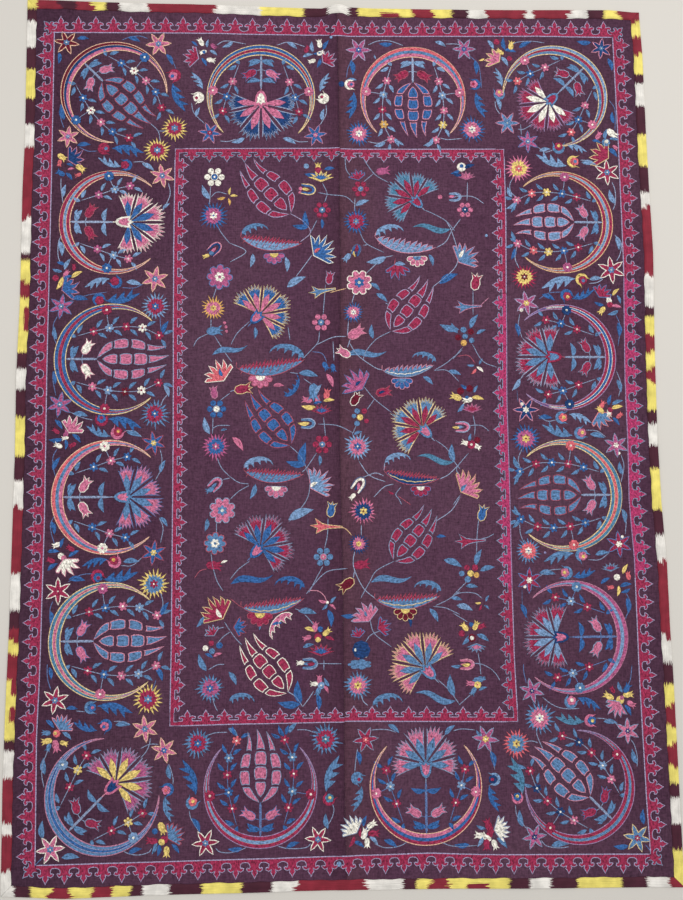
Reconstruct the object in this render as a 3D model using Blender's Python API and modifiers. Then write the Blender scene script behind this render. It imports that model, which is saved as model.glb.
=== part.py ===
# A suzani laid flat: two panels of plum cotton sewn edge to edge down the middle,
# and four lengths of folded tape that bind their edges and meet in mitres at the corners.
#
# Metres, +Z up. The cloth lies face up in the XY plane, with its length along Y.
# The origin is under the middle of the cloth, on the surface that it lies on.

import math

import bmesh
import bpy
import numpy as np

# Driving sizes
CLOTH_WIDTH = 1.577  # reach of the laid cloth from side to side
CLOTH_LENGTH = 2.161  # and from bottom to top
PANEL_THICKNESS = 0.0012  # cotton ground with the silk stitched into it
TAPE_THICKNESS = 0.0006
TAPE_WIDTH = 0.024  # of the folded tape, as it shows on either face
SEWN_GAP = 0.0003  # between pieces that are sewn to each other
SEAM_X = -0.0015  # the middle seam lies a little off centre

# The cloth inside the tape lies one layer of tape above the surface.
TUCKED_HEIGHT = TAPE_THICKNESS + SEWN_GAP
BOUND_THICKNESS = 2 * TUCKED_HEIGHT + PANEL_THICKNESS
FOLD_ROUND = 0.4 * BOUND_THICKNESS  # the tape's outer fold, cut across, has its corners off
TUCKED_INSET = FOLD_ROUND + 2 * SEWN_GAP  # from the outer fold to the cloth's cut edge
MITRE_BACK = SEWN_GAP / math.sqrt(2)

# Where the mesh has its rows and columns, as distances from a bound edge or from the seam
BOUND_BAND = 0.030  # the tape, and the cloth that lifts with it
EDGE_STEPS = (0.0, BOUND_BAND, 0.066)  # at the last of these the cloth lies flat
SEAM_STEPS = (0.0, 0.015, 0.035)  # the pleat's crown, its flank and its foot
EVEN_STEP = 0.095

# How far each edge lies inside the cloth's full reach, in millimetres.
# The top edge stands out at the seam, where the tape is pleated.
# columns: place along the edge, inset
TOP_EDGE = (
    (-789, 0),
    (-610, 4),
    (-275, 9),
    (-90, 12),
    (-37, 12),
    (-16, 4),
    (14, 3),
    (34, 8),
    (100, 10),
    (500, 9),
    (706, 4),
    (772, 9),
)
BOTTOM_EDGE = (
    (-782, 11),
    (-649, 3),
    (-458, 7),
    (-100, 10),
    (218, 8),
    (685, 2),
    (789, 0),
)
LEFT_EDGE = (
    (-1070, 7),
    (-838, 3),
    (-480, 6),
    (-80, 6),
    (113, 4),
    (284, 6),
    (585, 3),
    (713, 5),
    (1080, 0),
)
RIGHT_EDGE = (
    (-1080, 0),
    (-610, 5),
    (-480, 8),
    (-327, 9),
    (-182, 17),
    (-35, 20),
    (188, 17),
    (443, 12),
    (757, 16),
    (971, 17),
    (1066, 21),
)

# Soft swells of the cloth off the surface, in millimetres.
# columns: centre x, centre y, reach in x, reach in y, height
SWELLS = (
    (-1, 1080, 38, 170, 4.0),  # pleat at the top of the seam
    (-1, 700, 38, 420, 1.2),  # and the faint ridge that it runs into
    (-330, 1080, 170, 150, 2.4),
    (520, 1080, 190, 160, 2.0),
    (-210, -1080, 190, 150, 2.2),
    (430, -1080, 210, 140, 2.0),
    (-788, 150, 150, 210, 2.4),
    (-788, -640, 140, 200, 2.0),
    (788, 430, 150, 220, 3.0),
    (788, -90, 140, 210, 2.4),
    (-380, 245, 260, 170, 1.2),
    (400, 225, 280, 170, 1.4),
)

# columns: name, colour in linear light, roughness
COTTON = ("plum cotton", (0.092, 0.034, 0.064), 0.92)
TAPE = ("striped tape", (0.70, 0.42, 0.28), 0.85)


def inside(value, lowest, highest):
    return max(lowest, min(highest, value))


def edge_inset(edge, place):
    places, insets = zip(*edge)
    return np.interp(place * 1000, places, insets) / 1000


def laid(x, y):
    """Moves a point of the true rectangle to where the laid cloth has it."""
    across = x / CLOTH_WIDTH
    along = y / CLOTH_LENGTH
    left = edge_inset(LEFT_EDGE, y) * (0.5 - across)
    right = edge_inset(RIGHT_EDGE, y) * (0.5 + across)
    bottom = edge_inset(BOTTOM_EDGE, x) * (0.5 - along)
    top = edge_inset(TOP_EDGE, x) * (0.5 + along)
    return x + left - right, y + bottom - top


def swell(x, y):
    """Height of the cloth's underside off the surface. A bound edge lifts as one band."""
    half_width = CLOTH_WIDTH / 2 - BOUND_BAND
    half_length = CLOTH_LENGTH / 2 - BOUND_BAND
    x = inside(x, -half_width, half_width) * 1000
    y = inside(y, -half_length, half_length) * 1000
    height = 0.0
    for centre_x, centre_y, reach_x, reach_y, crown in SWELLS:
        away = math.hypot((x - centre_x) / reach_x, (y - centre_y) / reach_y)
        if away < 1:
            height += crown * math.cos(away * math.pi / 2) ** 2
    return height / 1000


def stations(first, last, steps_first, steps_last):
    head = [first + step for step in steps_first]
    tail = [last - step for step in reversed(steps_last)]
    count = round((tail[0] - head[-1]) / EVEN_STEP)
    return head + list(np.linspace(head[-1], tail[0], count + 1)[1:-1]) + tail


def fabric(look):
    name, colour, roughness = look
    material = bpy.data.materials.new(name)
    material.use_nodes = True
    shader = material.node_tree.nodes["Principled BSDF"]
    shader.inputs["Base Color"].default_value = (*colour, 1.0)
    shader.inputs["Roughness"].default_value = roughness
    shader.inputs["Metallic"].default_value = 0.0
    return material


def panel(name, columns, rows):
    """One loom width: a sheet on the surface, lifted where it goes into the tape."""
    bpy.ops.mesh.primitive_grid_add(
        x_subdivisions=len(columns) - 1, y_subdivisions=len(rows) - 1, size=1
    )
    sheet = bpy.context.object
    sheet.name = name
    half_width = CLOTH_WIDTH / 2
    half_length = CLOTH_LENGTH / 2
    seam_side = SEWN_GAP / 2
    lowest = TUCKED_INSET - half_width if columns[0] < SEAM_X else SEAM_X + seam_side
    highest = half_width - TUCKED_INSET if columns[-1] > SEAM_X else SEAM_X - seam_side
    for index, vertex in enumerate(sheet.data.vertices):
        row, column = divmod(index, len(columns))
        x = inside(columns[column], lowest, highest)
        y = inside(rows[row], TUCKED_INSET - half_length, half_length - TUCKED_INSET)
        depth = min(half_width - abs(x), half_length - abs(y))
        tuck = 1 - inside((depth - BOUND_BAND) / (EDGE_STEPS[-1] - BOUND_BAND), 0, 1)
        vertex.co = (*laid(x, y), swell(x, y) + tuck * TUCKED_HEIGHT)
    solidify = sheet.modifiers.new("thickness", "SOLIDIFY")
    solidify.thickness = PANEL_THICKNESS
    solidify.offset = 1
    return sheet


def tape_section():
    """The folded tape cut across: each point's inset from the outer fold, and its height."""
    top = BOUND_THICKNESS
    thick = TAPE_THICKNESS
    return (
        (TAPE_WIDTH, 0),
        (FOLD_ROUND, 0),
        (0.0, FOLD_ROUND),
        (0.0, top - FOLD_ROUND),
        (FOLD_ROUND, top),
        (TAPE_WIDTH, top),
        (TAPE_WIDTH, top - thick),
        (FOLD_ROUND, top - thick),
        (thick, top - FOLD_ROUND),
        (thick, FOLD_ROUND),
        (FOLD_ROUND, thick),
        (TAPE_WIDTH, thick),
    )


def binding(name, along_stations, place, half_along):
    """One length of tape: its section extruded along the edge, with both ends mitred."""
    section = tape_section()
    mesh = bmesh.new()
    slot = mesh.verts.layers.int.new("slot")
    circle = bmesh.ops.create_circle(mesh, cap_ends=True, segments=len(section), radius=1)
    for index, vertex in enumerate(circle["verts"]):
        vertex[slot] = index
    mesh.faces.ensure_lookup_table()
    end = mesh.faces[0]
    for number, station in enumerate(along_stations):
        if number > 0:
            made = bmesh.ops.extrude_face_region(mesh, geom=[end])["geom"]
            if number > 1:
                mesh.faces.remove(end)  # only the first face stays, to close the start
            end = next(item for item in made if isinstance(item, bmesh.types.BMFace))
        for vertex in end.verts:
            inset, height = section[vertex[slot]]
            limit = half_along - inset - MITRE_BACK
            x, y = place(inside(station, -limit, limit), inset)
            vertex.co = (*laid(x, y), height + swell(x, y))
    bmesh.ops.recalc_face_normals(mesh, faces=mesh.faces)
    data = bpy.data.meshes.new(name)
    mesh.to_mesh(data)
    mesh.free()
    tape = bpy.data.objects.new(name, data)
    bpy.context.collection.objects.link(tape)
    return tape


def main():
    for old in list(bpy.data.objects):
        bpy.data.objects.remove(old)
    suzani = bpy.data.collections.new("suzani")
    bpy.context.scene.collection.children.link(suzani)
    layers = bpy.context.view_layer.layer_collection.children
    bpy.context.view_layer.active_layer_collection = layers[suzani.name]

    half_width = CLOTH_WIDTH / 2
    half_length = CLOTH_LENGTH / 2
    rows = stations(-half_length, half_length, EDGE_STEPS, EDGE_STEPS)
    left_columns = stations(-half_width, SEAM_X, EDGE_STEPS, SEAM_STEPS)
    right_columns = stations(SEAM_X, half_width, SEAM_STEPS, EDGE_STEPS)
    columns = left_columns + right_columns[1:]

    cotton = fabric(COTTON)
    for name, panel_columns in (("panel_left", left_columns), ("panel_right", right_columns)):
        panel(name, panel_columns, rows).data.materials.append(cotton)

    tape = fabric(TAPE)
    sides = (
        ("binding_top", columns, half_width, lambda x, inset: (x, half_length - inset)),
        ("binding_bottom", columns, half_width, lambda x, inset: (x, inset - half_length)),
        ("binding_left", rows, half_length, lambda y, inset: (inset - half_width, y)),
        ("binding_right", rows, half_length, lambda y, inset: (half_width - inset, y)),
    )
    for name, along_stations, half_along, place in sides:
        binding(name, along_stations, place, half_along).data.materials.append(tape)


main()
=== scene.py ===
import math

import bpy
import numpy as np
from mathutils import Euler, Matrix
from mathutils.geometry import delaunay_2d_cdt


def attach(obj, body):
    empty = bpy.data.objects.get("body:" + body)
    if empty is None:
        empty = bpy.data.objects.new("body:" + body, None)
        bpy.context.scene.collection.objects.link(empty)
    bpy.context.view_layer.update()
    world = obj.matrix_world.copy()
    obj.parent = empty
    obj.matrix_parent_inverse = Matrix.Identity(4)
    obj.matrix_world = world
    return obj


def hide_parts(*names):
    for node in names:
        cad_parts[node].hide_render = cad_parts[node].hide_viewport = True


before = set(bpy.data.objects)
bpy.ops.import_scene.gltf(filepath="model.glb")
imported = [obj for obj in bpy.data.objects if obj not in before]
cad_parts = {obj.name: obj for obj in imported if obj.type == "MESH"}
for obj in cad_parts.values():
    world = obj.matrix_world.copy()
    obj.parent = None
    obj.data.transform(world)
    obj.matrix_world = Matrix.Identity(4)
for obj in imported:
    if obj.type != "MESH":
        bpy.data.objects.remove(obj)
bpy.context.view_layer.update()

for item in bpy.context.selected_objects:
    item.select_set(False)

# view, floor and light
view = {
    "place": (-0.0542, -0.1959, 1.6846),  # metres: over the cloth, a little below its middle
    "turn": (4.701, -1.656, -0.280),  # degrees
    "lens": 28.0,
    "sensor": 36.0,
    "photoWide": 683,
    "photoHigh": 900,
    "clothHigh": 0.002,  # metres: the height at which a pixel of the photograph is placed
}
light = {
    "floorColour": "D3CDC3",
    "floorZ": -0.0004,  # metres: just under the cloth
    "skyColour": "F4F6FA",
    "skyStrength": 0.66,
    "softboxes": (  # place, size, power in watts
        ((1.7, 1.4, 3.2), 2.4, 58),
        ((-1.6, 0.4, 3.2), 2.6, 30),
    ),
}


def linear(code):
    parts = [int(code[i:i + 2], 16) / 255 for i in (0, 2, 4)]
    return [c / 12.92 if c <= 0.04045 else ((c + 0.055) / 1.055) ** 2.4 for c in parts] + [1.0]


def addNode(tree, kind, settings={}, inputs={}):
    # inputs, by name or in order, are values to set or other nodes' sockets to join
    node = tree.nodes.new("ShaderNode" + kind)
    for name, value in settings.items():
        setattr(node, name, value)
    for name, value in inputs.items() if isinstance(inputs, dict) else enumerate(inputs):
        if isinstance(value, bpy.types.NodeSocket):
            tree.links.new(value, node.inputs[name])
        else:
            node.inputs[name].default_value = value
    return node


def newMaterial(name, finish):
    material = bpy.data.materials.new(name)
    material.use_nodes = True
    shader = material.node_tree.nodes["Principled BSDF"]
    for socket, value in finish.items():
        shader.inputs[socket].default_value = value
    return material, material.node_tree, shader


def makeView():
    bpy.ops.object.camera_add(location=view["place"])
    camera = bpy.context.object
    camera.rotation_euler = [math.radians(a) for a in view["turn"]]
    camera.data.lens = view["lens"]
    camera.data.sensor_width = view["sensor"]
    bpy.context.scene.camera = camera
    bpy.context.scene.view_settings.view_transform = "Standard"
    bpy.ops.mesh.primitive_plane_add(size=14, location=(0, 0, light["floorZ"]))
    floor = bpy.context.object
    floor.name = "floor"
    # matt paint, plain and pale, so that nothing but the cloth draws the eye
    finish = {"Base Color": linear(light["floorColour"]), "Roughness": 0.7}
    floor.data.materials.append(newMaterial("matt floor paint", finish)[0])
    world = bpy.data.worlds.new("studio")
    world.use_nodes = True
    sky = world.node_tree.nodes["Background"]
    sky.inputs["Color"].default_value = linear(light["skyColour"])
    sky.inputs["Strength"].default_value = light["skyStrength"]
    bpy.context.scene.world = world
    for place, size, power in light["softboxes"]:
        bpy.ops.object.light_add(type="AREA", location=place)
        lamp = bpy.context.object
        lamp.data.size = size
        lamp.data.energy = power
        lamp.rotation_euler = (-lamp.location).to_track_quat("-Z", "Y").to_euler()


makeView()
print("view, floor and light are set")

# the laid cloth: where each point of it lies
cloth = {  # metres, and millimetres where a note says so
    "wide": 1.577,
    "long": 2.161,
    "thick": 0.0012,
    "seamX": -0.0015,
    "tape": 0.0006,
    "gap": 0.0003,
    "boundBand": 0.030,  # the tape and the cloth in it lift as one
    "flatFrom": 0.066,  # this far from an edge the cloth lies on the floor
    "topEdge": (  # place along the edge and inset from the full reach, millimetres
        (-789, 0), (-610, 4), (-275, 9), (-90, 12), (-37, 12), (-16, 4), (14, 3), (34, 8),
        (100, 10), (500, 9), (706, 4), (772, 9),
    ),
    "bottomEdge": (
        (-782, 11), (-649, 3), (-458, 7), (-100, 10), (218, 8), (685, 2), (789, 0),
    ),
    "leftEdge": (
        (-1070, 7), (-838, 3), (-480, 6), (-80, 6), (113, 4), (284, 6), (585, 3), (713, 5),
        (1080, 0),
    ),
    "rightEdge": (
        (-1080, 0), (-610, 5), (-480, 8), (-327, 9), (-182, 17), (-35, 20), (188, 17),
        (443, 12), (757, 16), (971, 17), (1066, 21),
    ),
    "swells": (  # low domes of cloth off the floor: centre x, y, reach in x, y, height, millimetres
        (-1, 1080, 38, 170, 4.0), (-1, 700, 38, 420, 1.2), (-330, 1080, 170, 150, 2.4),
        (520, 1080, 190, 160, 2.0), (-210, -1080, 190, 150, 2.2), (430, -1080, 210, 140, 2.0),
        (-788, 150, 150, 210, 2.4), (-788, -640, 140, 200, 2.0), (788, 430, 150, 220, 3.0),
        (788, -90, 140, 210, 2.4), (-380, 245, 260, 170, 1.2), (400, 225, 280, 170, 1.4),
    ),
    "creases": (  # from x, y to x, y, half width, height, millimetres: low ridges of old folds
        (-1, -1060, -1, 1060, 34, 1.3),
        (-30, 1060, -24, 560, 20, -0.5),
        (-780, 232, 780, 226, 44, 0.5),
        (-395, -1060, -390, 1060, 46, 0.4),
        (398, -1060, 392, 1060, 46, 0.4),
        (-780, -415, 780, -424, 40, 0.35),
        (520, 1070, 470, 820, 26, 0.6),
        (-330, 1075, -300, 880, 26, 0.6),
        (780, 120, 610, 60, 24, 0.6),
        (-785, -120, -640, -90, 24, 0.6),
    ),
    "puckers": (  # waves that the stitching draws up: wavelength, direction in degrees, height, mm
        (83, 12, 0.10), (61, 77, 0.10), (109, 140, 0.12), (47, 40, 0.05),
    ),
}


def inset(edge, place):
    places, insets = zip(*cloth[edge])
    return np.interp(place * 1000, places, insets) / 1000


def laid(x, y):
    # moves a point of the true rectangle to where the laid cloth has it
    across = x / cloth["wide"]
    along = y / cloth["long"]
    left = inset("leftEdge", y) * (0.5 - across)
    right = inset("rightEdge", y) * (0.5 + across)
    bottom = inset("bottomEdge", x) * (0.5 - along)
    top = inset("topEdge", x) * (0.5 + along)
    return x + left - right, y + bottom - top


def ridge(x, y, line):
    x1, y1, x2, y2, half, height = line
    long = math.hypot(x2 - x1, y2 - y1)
    ux, uy = (x2 - x1) / long, (y2 - y1) / long
    run = (x - x1) * ux + (y - y1) * uy
    away = np.abs((x - x1) * uy - (y - y1) * ux) / half
    ends = np.clip(np.minimum(run, long - run) / (3 * half) + 0.5, 0, 1)
    return height * ends * np.where(away < 1, np.cos(np.minimum(away, 1) * math.pi / 2) ** 2, 0)


def underside(x, y):
    # height of the cloth's underside, metres
    x = np.asarray(x, float)
    y = np.asarray(y, float)
    halfWide = cloth["wide"] / 2
    halfLong = cloth["long"] / 2
    depth = np.minimum(halfWide - np.abs(x), halfLong - np.abs(y))
    tuck = 1 - np.clip(
        (depth - cloth["boundBand"]) / (cloth["flatFrom"] - cloth["boundBand"]), 0, 1
    )
    xb = np.clip(x, cloth["boundBand"] - halfWide, halfWide - cloth["boundBand"]) * 1000
    yb = np.clip(y, cloth["boundBand"] - halfLong, halfLong - cloth["boundBand"]) * 1000
    height = np.zeros(x.shape)
    for cx, cy, reachX, reachY, crown in cloth["swells"]:
        away = np.minimum(np.hypot((xb - cx) / reachX, (yb - cy) / reachY), 1)
        height += crown * np.cos(away * math.pi / 2) ** 2
    for line in cloth["creases"]:
        height += ridge(xb, yb, line)
    for wave, turn, rise in cloth["puckers"]:
        run = xb * math.cos(math.radians(turn)) + yb * math.sin(math.radians(turn))
        height += rise * (1 + np.sin(run * 2 * math.pi / wave + 0.9 * np.sin(yb / 70)))
    return np.maximum(height, 0) / 1000 + tuck * (cloth["tape"] + cloth["gap"])


def onCloth(points):
    # complex numbers x + iy, metres, to points on the laid cloth's face
    x, y = points.real, points.imag
    for _ in range(4):  # which point of the true rectangle is laid there
        xLaid, yLaid = laid(x, y)
        x, y = x + points.real - xLaid, y + points.imag - yLaid
    return np.stack([points.real, points.imag, underside(x, y) + cloth["thick"]], -1)


def meshPiece(name, verts, faces, uvs, materials, faceMaterials, smooth):
    # uvs has one pair for each vertex: along the thread and across it, metres
    mesh = bpy.data.meshes.new(name)
    mesh.from_pydata(verts, [], faces)
    threads = mesh.uv_layers.new(name="thread")
    corners = np.empty(len(mesh.loops), int)
    mesh.loops.foreach_get("vertex_index", corners)
    threads.data.foreach_set("uv", np.asarray(uvs, float)[corners].ravel())
    for material in materials:
        mesh.materials.append(material)
    mesh.polygons.foreach_set("material_index", np.asarray(faceMaterials, int))
    mesh.polygons.foreach_set("use_smooth", np.asarray(smooth, bool))
    piece = bpy.data.objects.new(name, mesh)
    bpy.context.scene.collection.objects.link(piece)
    return piece


# cotton ground
cotton = {
    "plum": "523347",
    "faded": "5D3F50",
    "fading": (0.36, 0.70),  # the broad noise at which the cloth is plum, and faded
    "shade": {"left": "452838", "right": "5A3A42"},  # painted shade next to the seam on the left panel, painted light on the right one
    "paintedSeamShading": {"left": (-0.075, 0.0, 0.0, 0.75), "right": (0.0, 0.11, 0.55, 0.0)},  # metres from the seam, and how much of the painted shade on the left and painted light on the right at each
    "spacing": 0.0008,  # of the threads, metres; real ones are 0.6 mm apart and wouldn't show
    "slubs": ((400.0, 45.0, 1.0), (45.0, 400.0, 1.0)),  # thick places 2.5 mm by 22 mm, each way
    "mottle": 190.0,  # patches of dye 5 mm across
    "depth": (0.54, 1.46),
    "outer": {"left": 0.68, "right": 0.80},  # how dark each panel is at its outer side
    "finish": {"Roughness": 0.93, "Specular IOR Level": 0.08},
    "cell": 0.0125,  # of the mesh, metres
}


def wovenCotton(side):
    # handspun cotton in plain weave: matt, with slubs, and worn a little lighter in broad patches
    material, tree, shader = newMaterial("handwoven cotton " + side, cotton["finish"])
    place = addNode(tree, "TexCoord").outputs["Object"]
    x = addNode(tree, "SeparateXYZ", {}, [place]).outputs["X"]
    broad = addNode(tree, "TexNoise", {}, {
        "Vector": place, "Scale": 2.6, "Detail": 7.0, "Roughness": 0.62})
    ramp = addNode(tree, "ValToRGB", {}, [broad.outputs["Fac"]])
    for stop, where, dye in zip(ramp.color_ramp.elements, cotton["fading"], ("plum", "faded")):
        stop.position = where
        stop.color = linear(cotton[dye])
    # the seam stands up a little, and its light and shade are painted: painted shade on the left panel
    # next to it, and browner painted light on the right one
    start, end, least, most = cotton["paintedSeamShading"][side]
    seam = cloth["seamX"]
    paintedSeamShading = addNode(tree, "MapRange", {}, [x, seam + start, seam + end, least, most])
    tint = addNode(tree, "Mix", {"data_type": "RGBA"}, {
        0: paintedSeamShading.outputs[0], 6: ramp.outputs[0], 7: linear(cotton["shade"][side])})
    slubs = []
    for stretch in cotton["slubs"]:
        stretched = addNode(tree, "Mapping", {}, {"Vector": place, "Scale": stretch})
        noise = addNode(tree, "TexNoise", {}, {
            "Vector": stretched.outputs[0], "Scale": 1.0, "Detail": 2.0})
        slubs.append(noise.outputs["Fac"])
    threads = addNode(tree, "Math", {"operation": "ADD"}, slubs)
    grain = addNode(tree, "TexNoise", {}, {
        "Vector": place, "Scale": cotton["mottle"], "Detail": 3.0, "Roughness": 0.7})
    mottle = addNode(tree, "Math", {"operation": "MULTIPLY_ADD"},
                     [grain.outputs["Fac"], 1.5, threads.outputs[0]])
    depth = addNode(tree, "MapRange", {}, [mottle.outputs[0], 1.25, 2.25, *cotton["depth"]])
    # each panel is darker towards its outer side
    aside = addNode(tree, "Math", {"operation": "ABSOLUTE"}, [x])
    darkerOutward = addNode(tree, "MapRange", {}, [aside.outputs[0], 0.30, 0.74, 1.0, cotton["outer"][side]])
    shade = addNode(tree, "Math", {"operation": "MULTIPLY"}, [depth.outputs[0], darkerOutward.outputs[0]])
    colour = addNode(tree, "Mix", {"data_type": "RGBA", "blend_type": "MULTIPLY"}, {
        0: 1.0, 6: tint.outputs[2], 7: shade.outputs[0]})
    tree.links.new(colour.outputs[2], shader.inputs["Base Color"])
    weave = addNode(tree, "Math", {"operation": "MAXIMUM"}, [
        addNode(tree, "TexWave", {"bands_direction": way}, {
            "Vector": place, "Scale": math.pi / 10 / cotton["spacing"], "Distortion": 0.6,
        }).outputs["Fac"] for way in "XY"])
    bump = addNode(tree, "Bump", {}, {"Strength": 0.5, "Distance": 0.0004, "Height": weave.outputs[0]})
    tree.links.new(bump.outputs[0], shader.inputs["Normal"])
    return material


def makePanel(side):
    edge = 0.4 * (2 * (cloth["tape"] + cloth["gap"]) + cloth["thick"]) + 2 * cloth["gap"]
    halfWide = cloth["wide"] / 2 - edge
    halfLong = cloth["long"] / 2 - edge
    low = -halfWide if side == "left" else cloth["seamX"] + cloth["gap"] / 2
    high = halfWide if side == "right" else cloth["seamX"] - cloth["gap"] / 2
    columns = round((high - low) / cotton["cell"]) + 1
    rows = round(2 * halfLong / cotton["cell"]) + 1
    bpy.ops.mesh.primitive_grid_add(x_subdivisions=columns - 1, y_subdivisions=rows - 1, size=1)
    sheet = bpy.context.object
    sheet.name = "ground_" + side
    x, y = np.meshgrid(np.linspace(low, high, columns), np.linspace(-halfLong, halfLong, rows))
    xLaid, yLaid = laid(x, y)
    points = np.stack([xLaid, yLaid, underside(x, y)], -1).reshape(-1, 3)
    sheet.data.vertices.foreach_set("co", points.ravel())
    sheet.data.shade_smooth()
    thickness = sheet.modifiers.new("thickness", "SOLIDIFY")
    thickness.thickness = cloth["thick"]
    thickness.offset = 1
    bpy.ops.object.modifier_apply(modifier=thickness.name)
    sheet.data.materials.append(wovenCotton(side))
    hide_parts("panel_" + side)
    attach(sheet, "root")
    sheet.select_set(False)


for side in ("left", "right"):
    makePanel(side)
print("cotton panels are laid")

# places read off the photograph
photoCentre = (view["photoWide"] / 2, view["photoHigh"] / 2)
photoFocal = view["lens"] / view["sensor"] * view["photoHigh"]
photoTurn = np.array(Euler([math.radians(a) for a in view["turn"]]).to_matrix())


def spot(px, py):
    # the place on the cloth, x + iy in metres, that the photograph shows at pixel (px, py)
    px = np.asarray(px, float)
    py = np.asarray(py, float)
    ray = np.stack([px - photoCentre[0], photoCentre[1] - py, 0 * px - photoFocal], -1) @ photoTurn.T
    reach = (view["clothHigh"] - view["place"][2]) / ray[..., 2]
    return view["place"][0] + reach * ray[..., 0] + 1j * (view["place"][1] + reach * ray[..., 1])


# ikat tape round the edges
tape = {
    "wide": 0.0235,
    "step": 0.009,
    "feather": 0.011,  # how far the dye runs along the threads at a change of colour
    "streaks": (14.0, 620.0, 1.0),  # per metre: streaks of dye 70 mm long and 1.6 mm wide
    "wear": 38.0,  # rubbed patches 26 mm across
    "depth": (0.74, 1.20),
    "ribs": 0.0011,  # metres; real ribs are finer and wouldn't show
    "finish": {"Roughness": 0.62, "Specular IOR Level": 0.15, "Sheen Weight": 0.03},
    "Y": "EEDC72", "W": "E9E3D9", "B": "882836", "M": "4A202E",
    # where each colour starts, in pixels of the photograph along the edge
    "top": "28Y 37B 57B 57M 75B 90Y 105M 120W 147B 219W 233W 262Y 305M 331W 351M 362Y 415B 436Y "
           "455M 472W 489B 531W 537B 576W 594M 610Y 623B",
    "bottom": "1W 10M 27Y 42B 68Y 87B 108Y 124M 140W 165M 198Y 236M 268W 292B 365W 400M 415Y 426B "
              "448Y 465B 485Y 508M 527W 550M 577Y 620M 648W 668B",
    "left": "0Y 10M 23W 48M 70Y 100M 126W 148B 222W 255M 264Y 284B 300Y 355M 372W 395M 420Y 460M "
            "484W 510B 580W 615M 635B 646Y 660B 684Y 745M 757W 785B 830W 840B 878W",
    "right": "12B 20Y 35B 50Y 72M 82W 105M 133Y 165M 190W 205B 275W 305M 315Y 336B 350Y 366B 384Y "
             "410M 425W 445M 470Y 510M 535W 560B 640W 665M 685Y 702B 728Y 745B 770Y 785M 800W 825M "
             "850Y",
    # the same for the half of the tape beside the cloth, where it differs
    "topInner": "28Y 37B 60M 75B 95Y 105M 120W 150B 216W 233W 262Y 305M 331W 351M 362Y 383B 402Y "
                "418B 440Y 455M 472W 492B 529W 540B 573W 594M 610Y 626B",
    "bottomInner": "1W 10M 27Y 48B 66Y 90B 108Y 128M 140W 165M 198Y 240M 268W 296B 362W 400M 415Y "
                   "430B 446Y 508M 527W 550M 577Y 620M 648W 668B",
    "leftInner": "0Y 10M 23W 48M 70Y 100M 126W 150B 220W 255M 264Y 286B 300Y 312B 334Y 355M 372W "
                 "395M 420Y 460M 484W 512B 578W 615M 635B 650Y 660B 700Y 712B 728Y 745M 757W 785B "
                 "830W 842B 876W",
    "rightInner": "12B 24Y 36B 46B 56Y 72M 82W 105M 133Y 165M 190W 208B 272W 305M 315Y 332B 352Y "
                  "368B 380Y 410M 425W 445M 470Y 510M 535W 564B 636W 665M 685Y 706B 724Y 748B 766Y "
                  "785M 800W 825M 850Y",
}
tapeSides = {  # whether the edge is upright, which side it is on, its line in the photograph
    "top": (False, 1, lambda p: spot(p, 8)),
    "bottom": (False, -1, lambda p: spot(p, 890)),
    "left": (True, -1, lambda p: spot(15, p)),
    "right": (True, 1, lambda p: spot(662, p)),
}


def dyeRamps(tree, words, side, along):
    # colours in constant bands along the tape, in ramps of up to 24 bands
    upright, _, photoLine = tapeSides[side]
    half = (cloth["long"] if upright else cloth["wide"]) / 2
    bands = []
    for word in words.split():
        place = photoLine(float(word[:-1]))
        place = place.imag if upright else place.real
        bands.append(((place + half) / (2 * half), tape[word[-1]]))
    if upright:  # read from the top down, so each colour ends where the next one starts
        starts = [start for start, _ in bands[1:]] + [0.0]
        bands = [(start, code) for start, (_, code) in zip(starts, bands)][::-1]
    dyed = None
    for first in range(0, len(bands), 24):
        ramp = addNode(tree, "ValToRGB", {}, [along])
        ramp.color_ramp.interpolation = "CONSTANT"
        stops = ramp.color_ramp.elements
        for number, (place, code) in enumerate(bands[first:first + 24]):
            place = min(max(place, 0.0), 1.0)
            stop = stops[number] if number < 2 else stops.new(place)
            stop.position = place
            stop.color = linear(code)
        if dyed is None:
            dyed = ramp.outputs[0]
        else:
            past = addNode(tree, "Math", {"operation": "GREATER_THAN"}, [along, bands[first][0]])
            dyed = addNode(tree, "Mix", {"data_type": "RGBA"}, {
                0: past.outputs[0], 6: dyed, 7: ramp.outputs[0]}).outputs[2]
    return dyed


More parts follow.
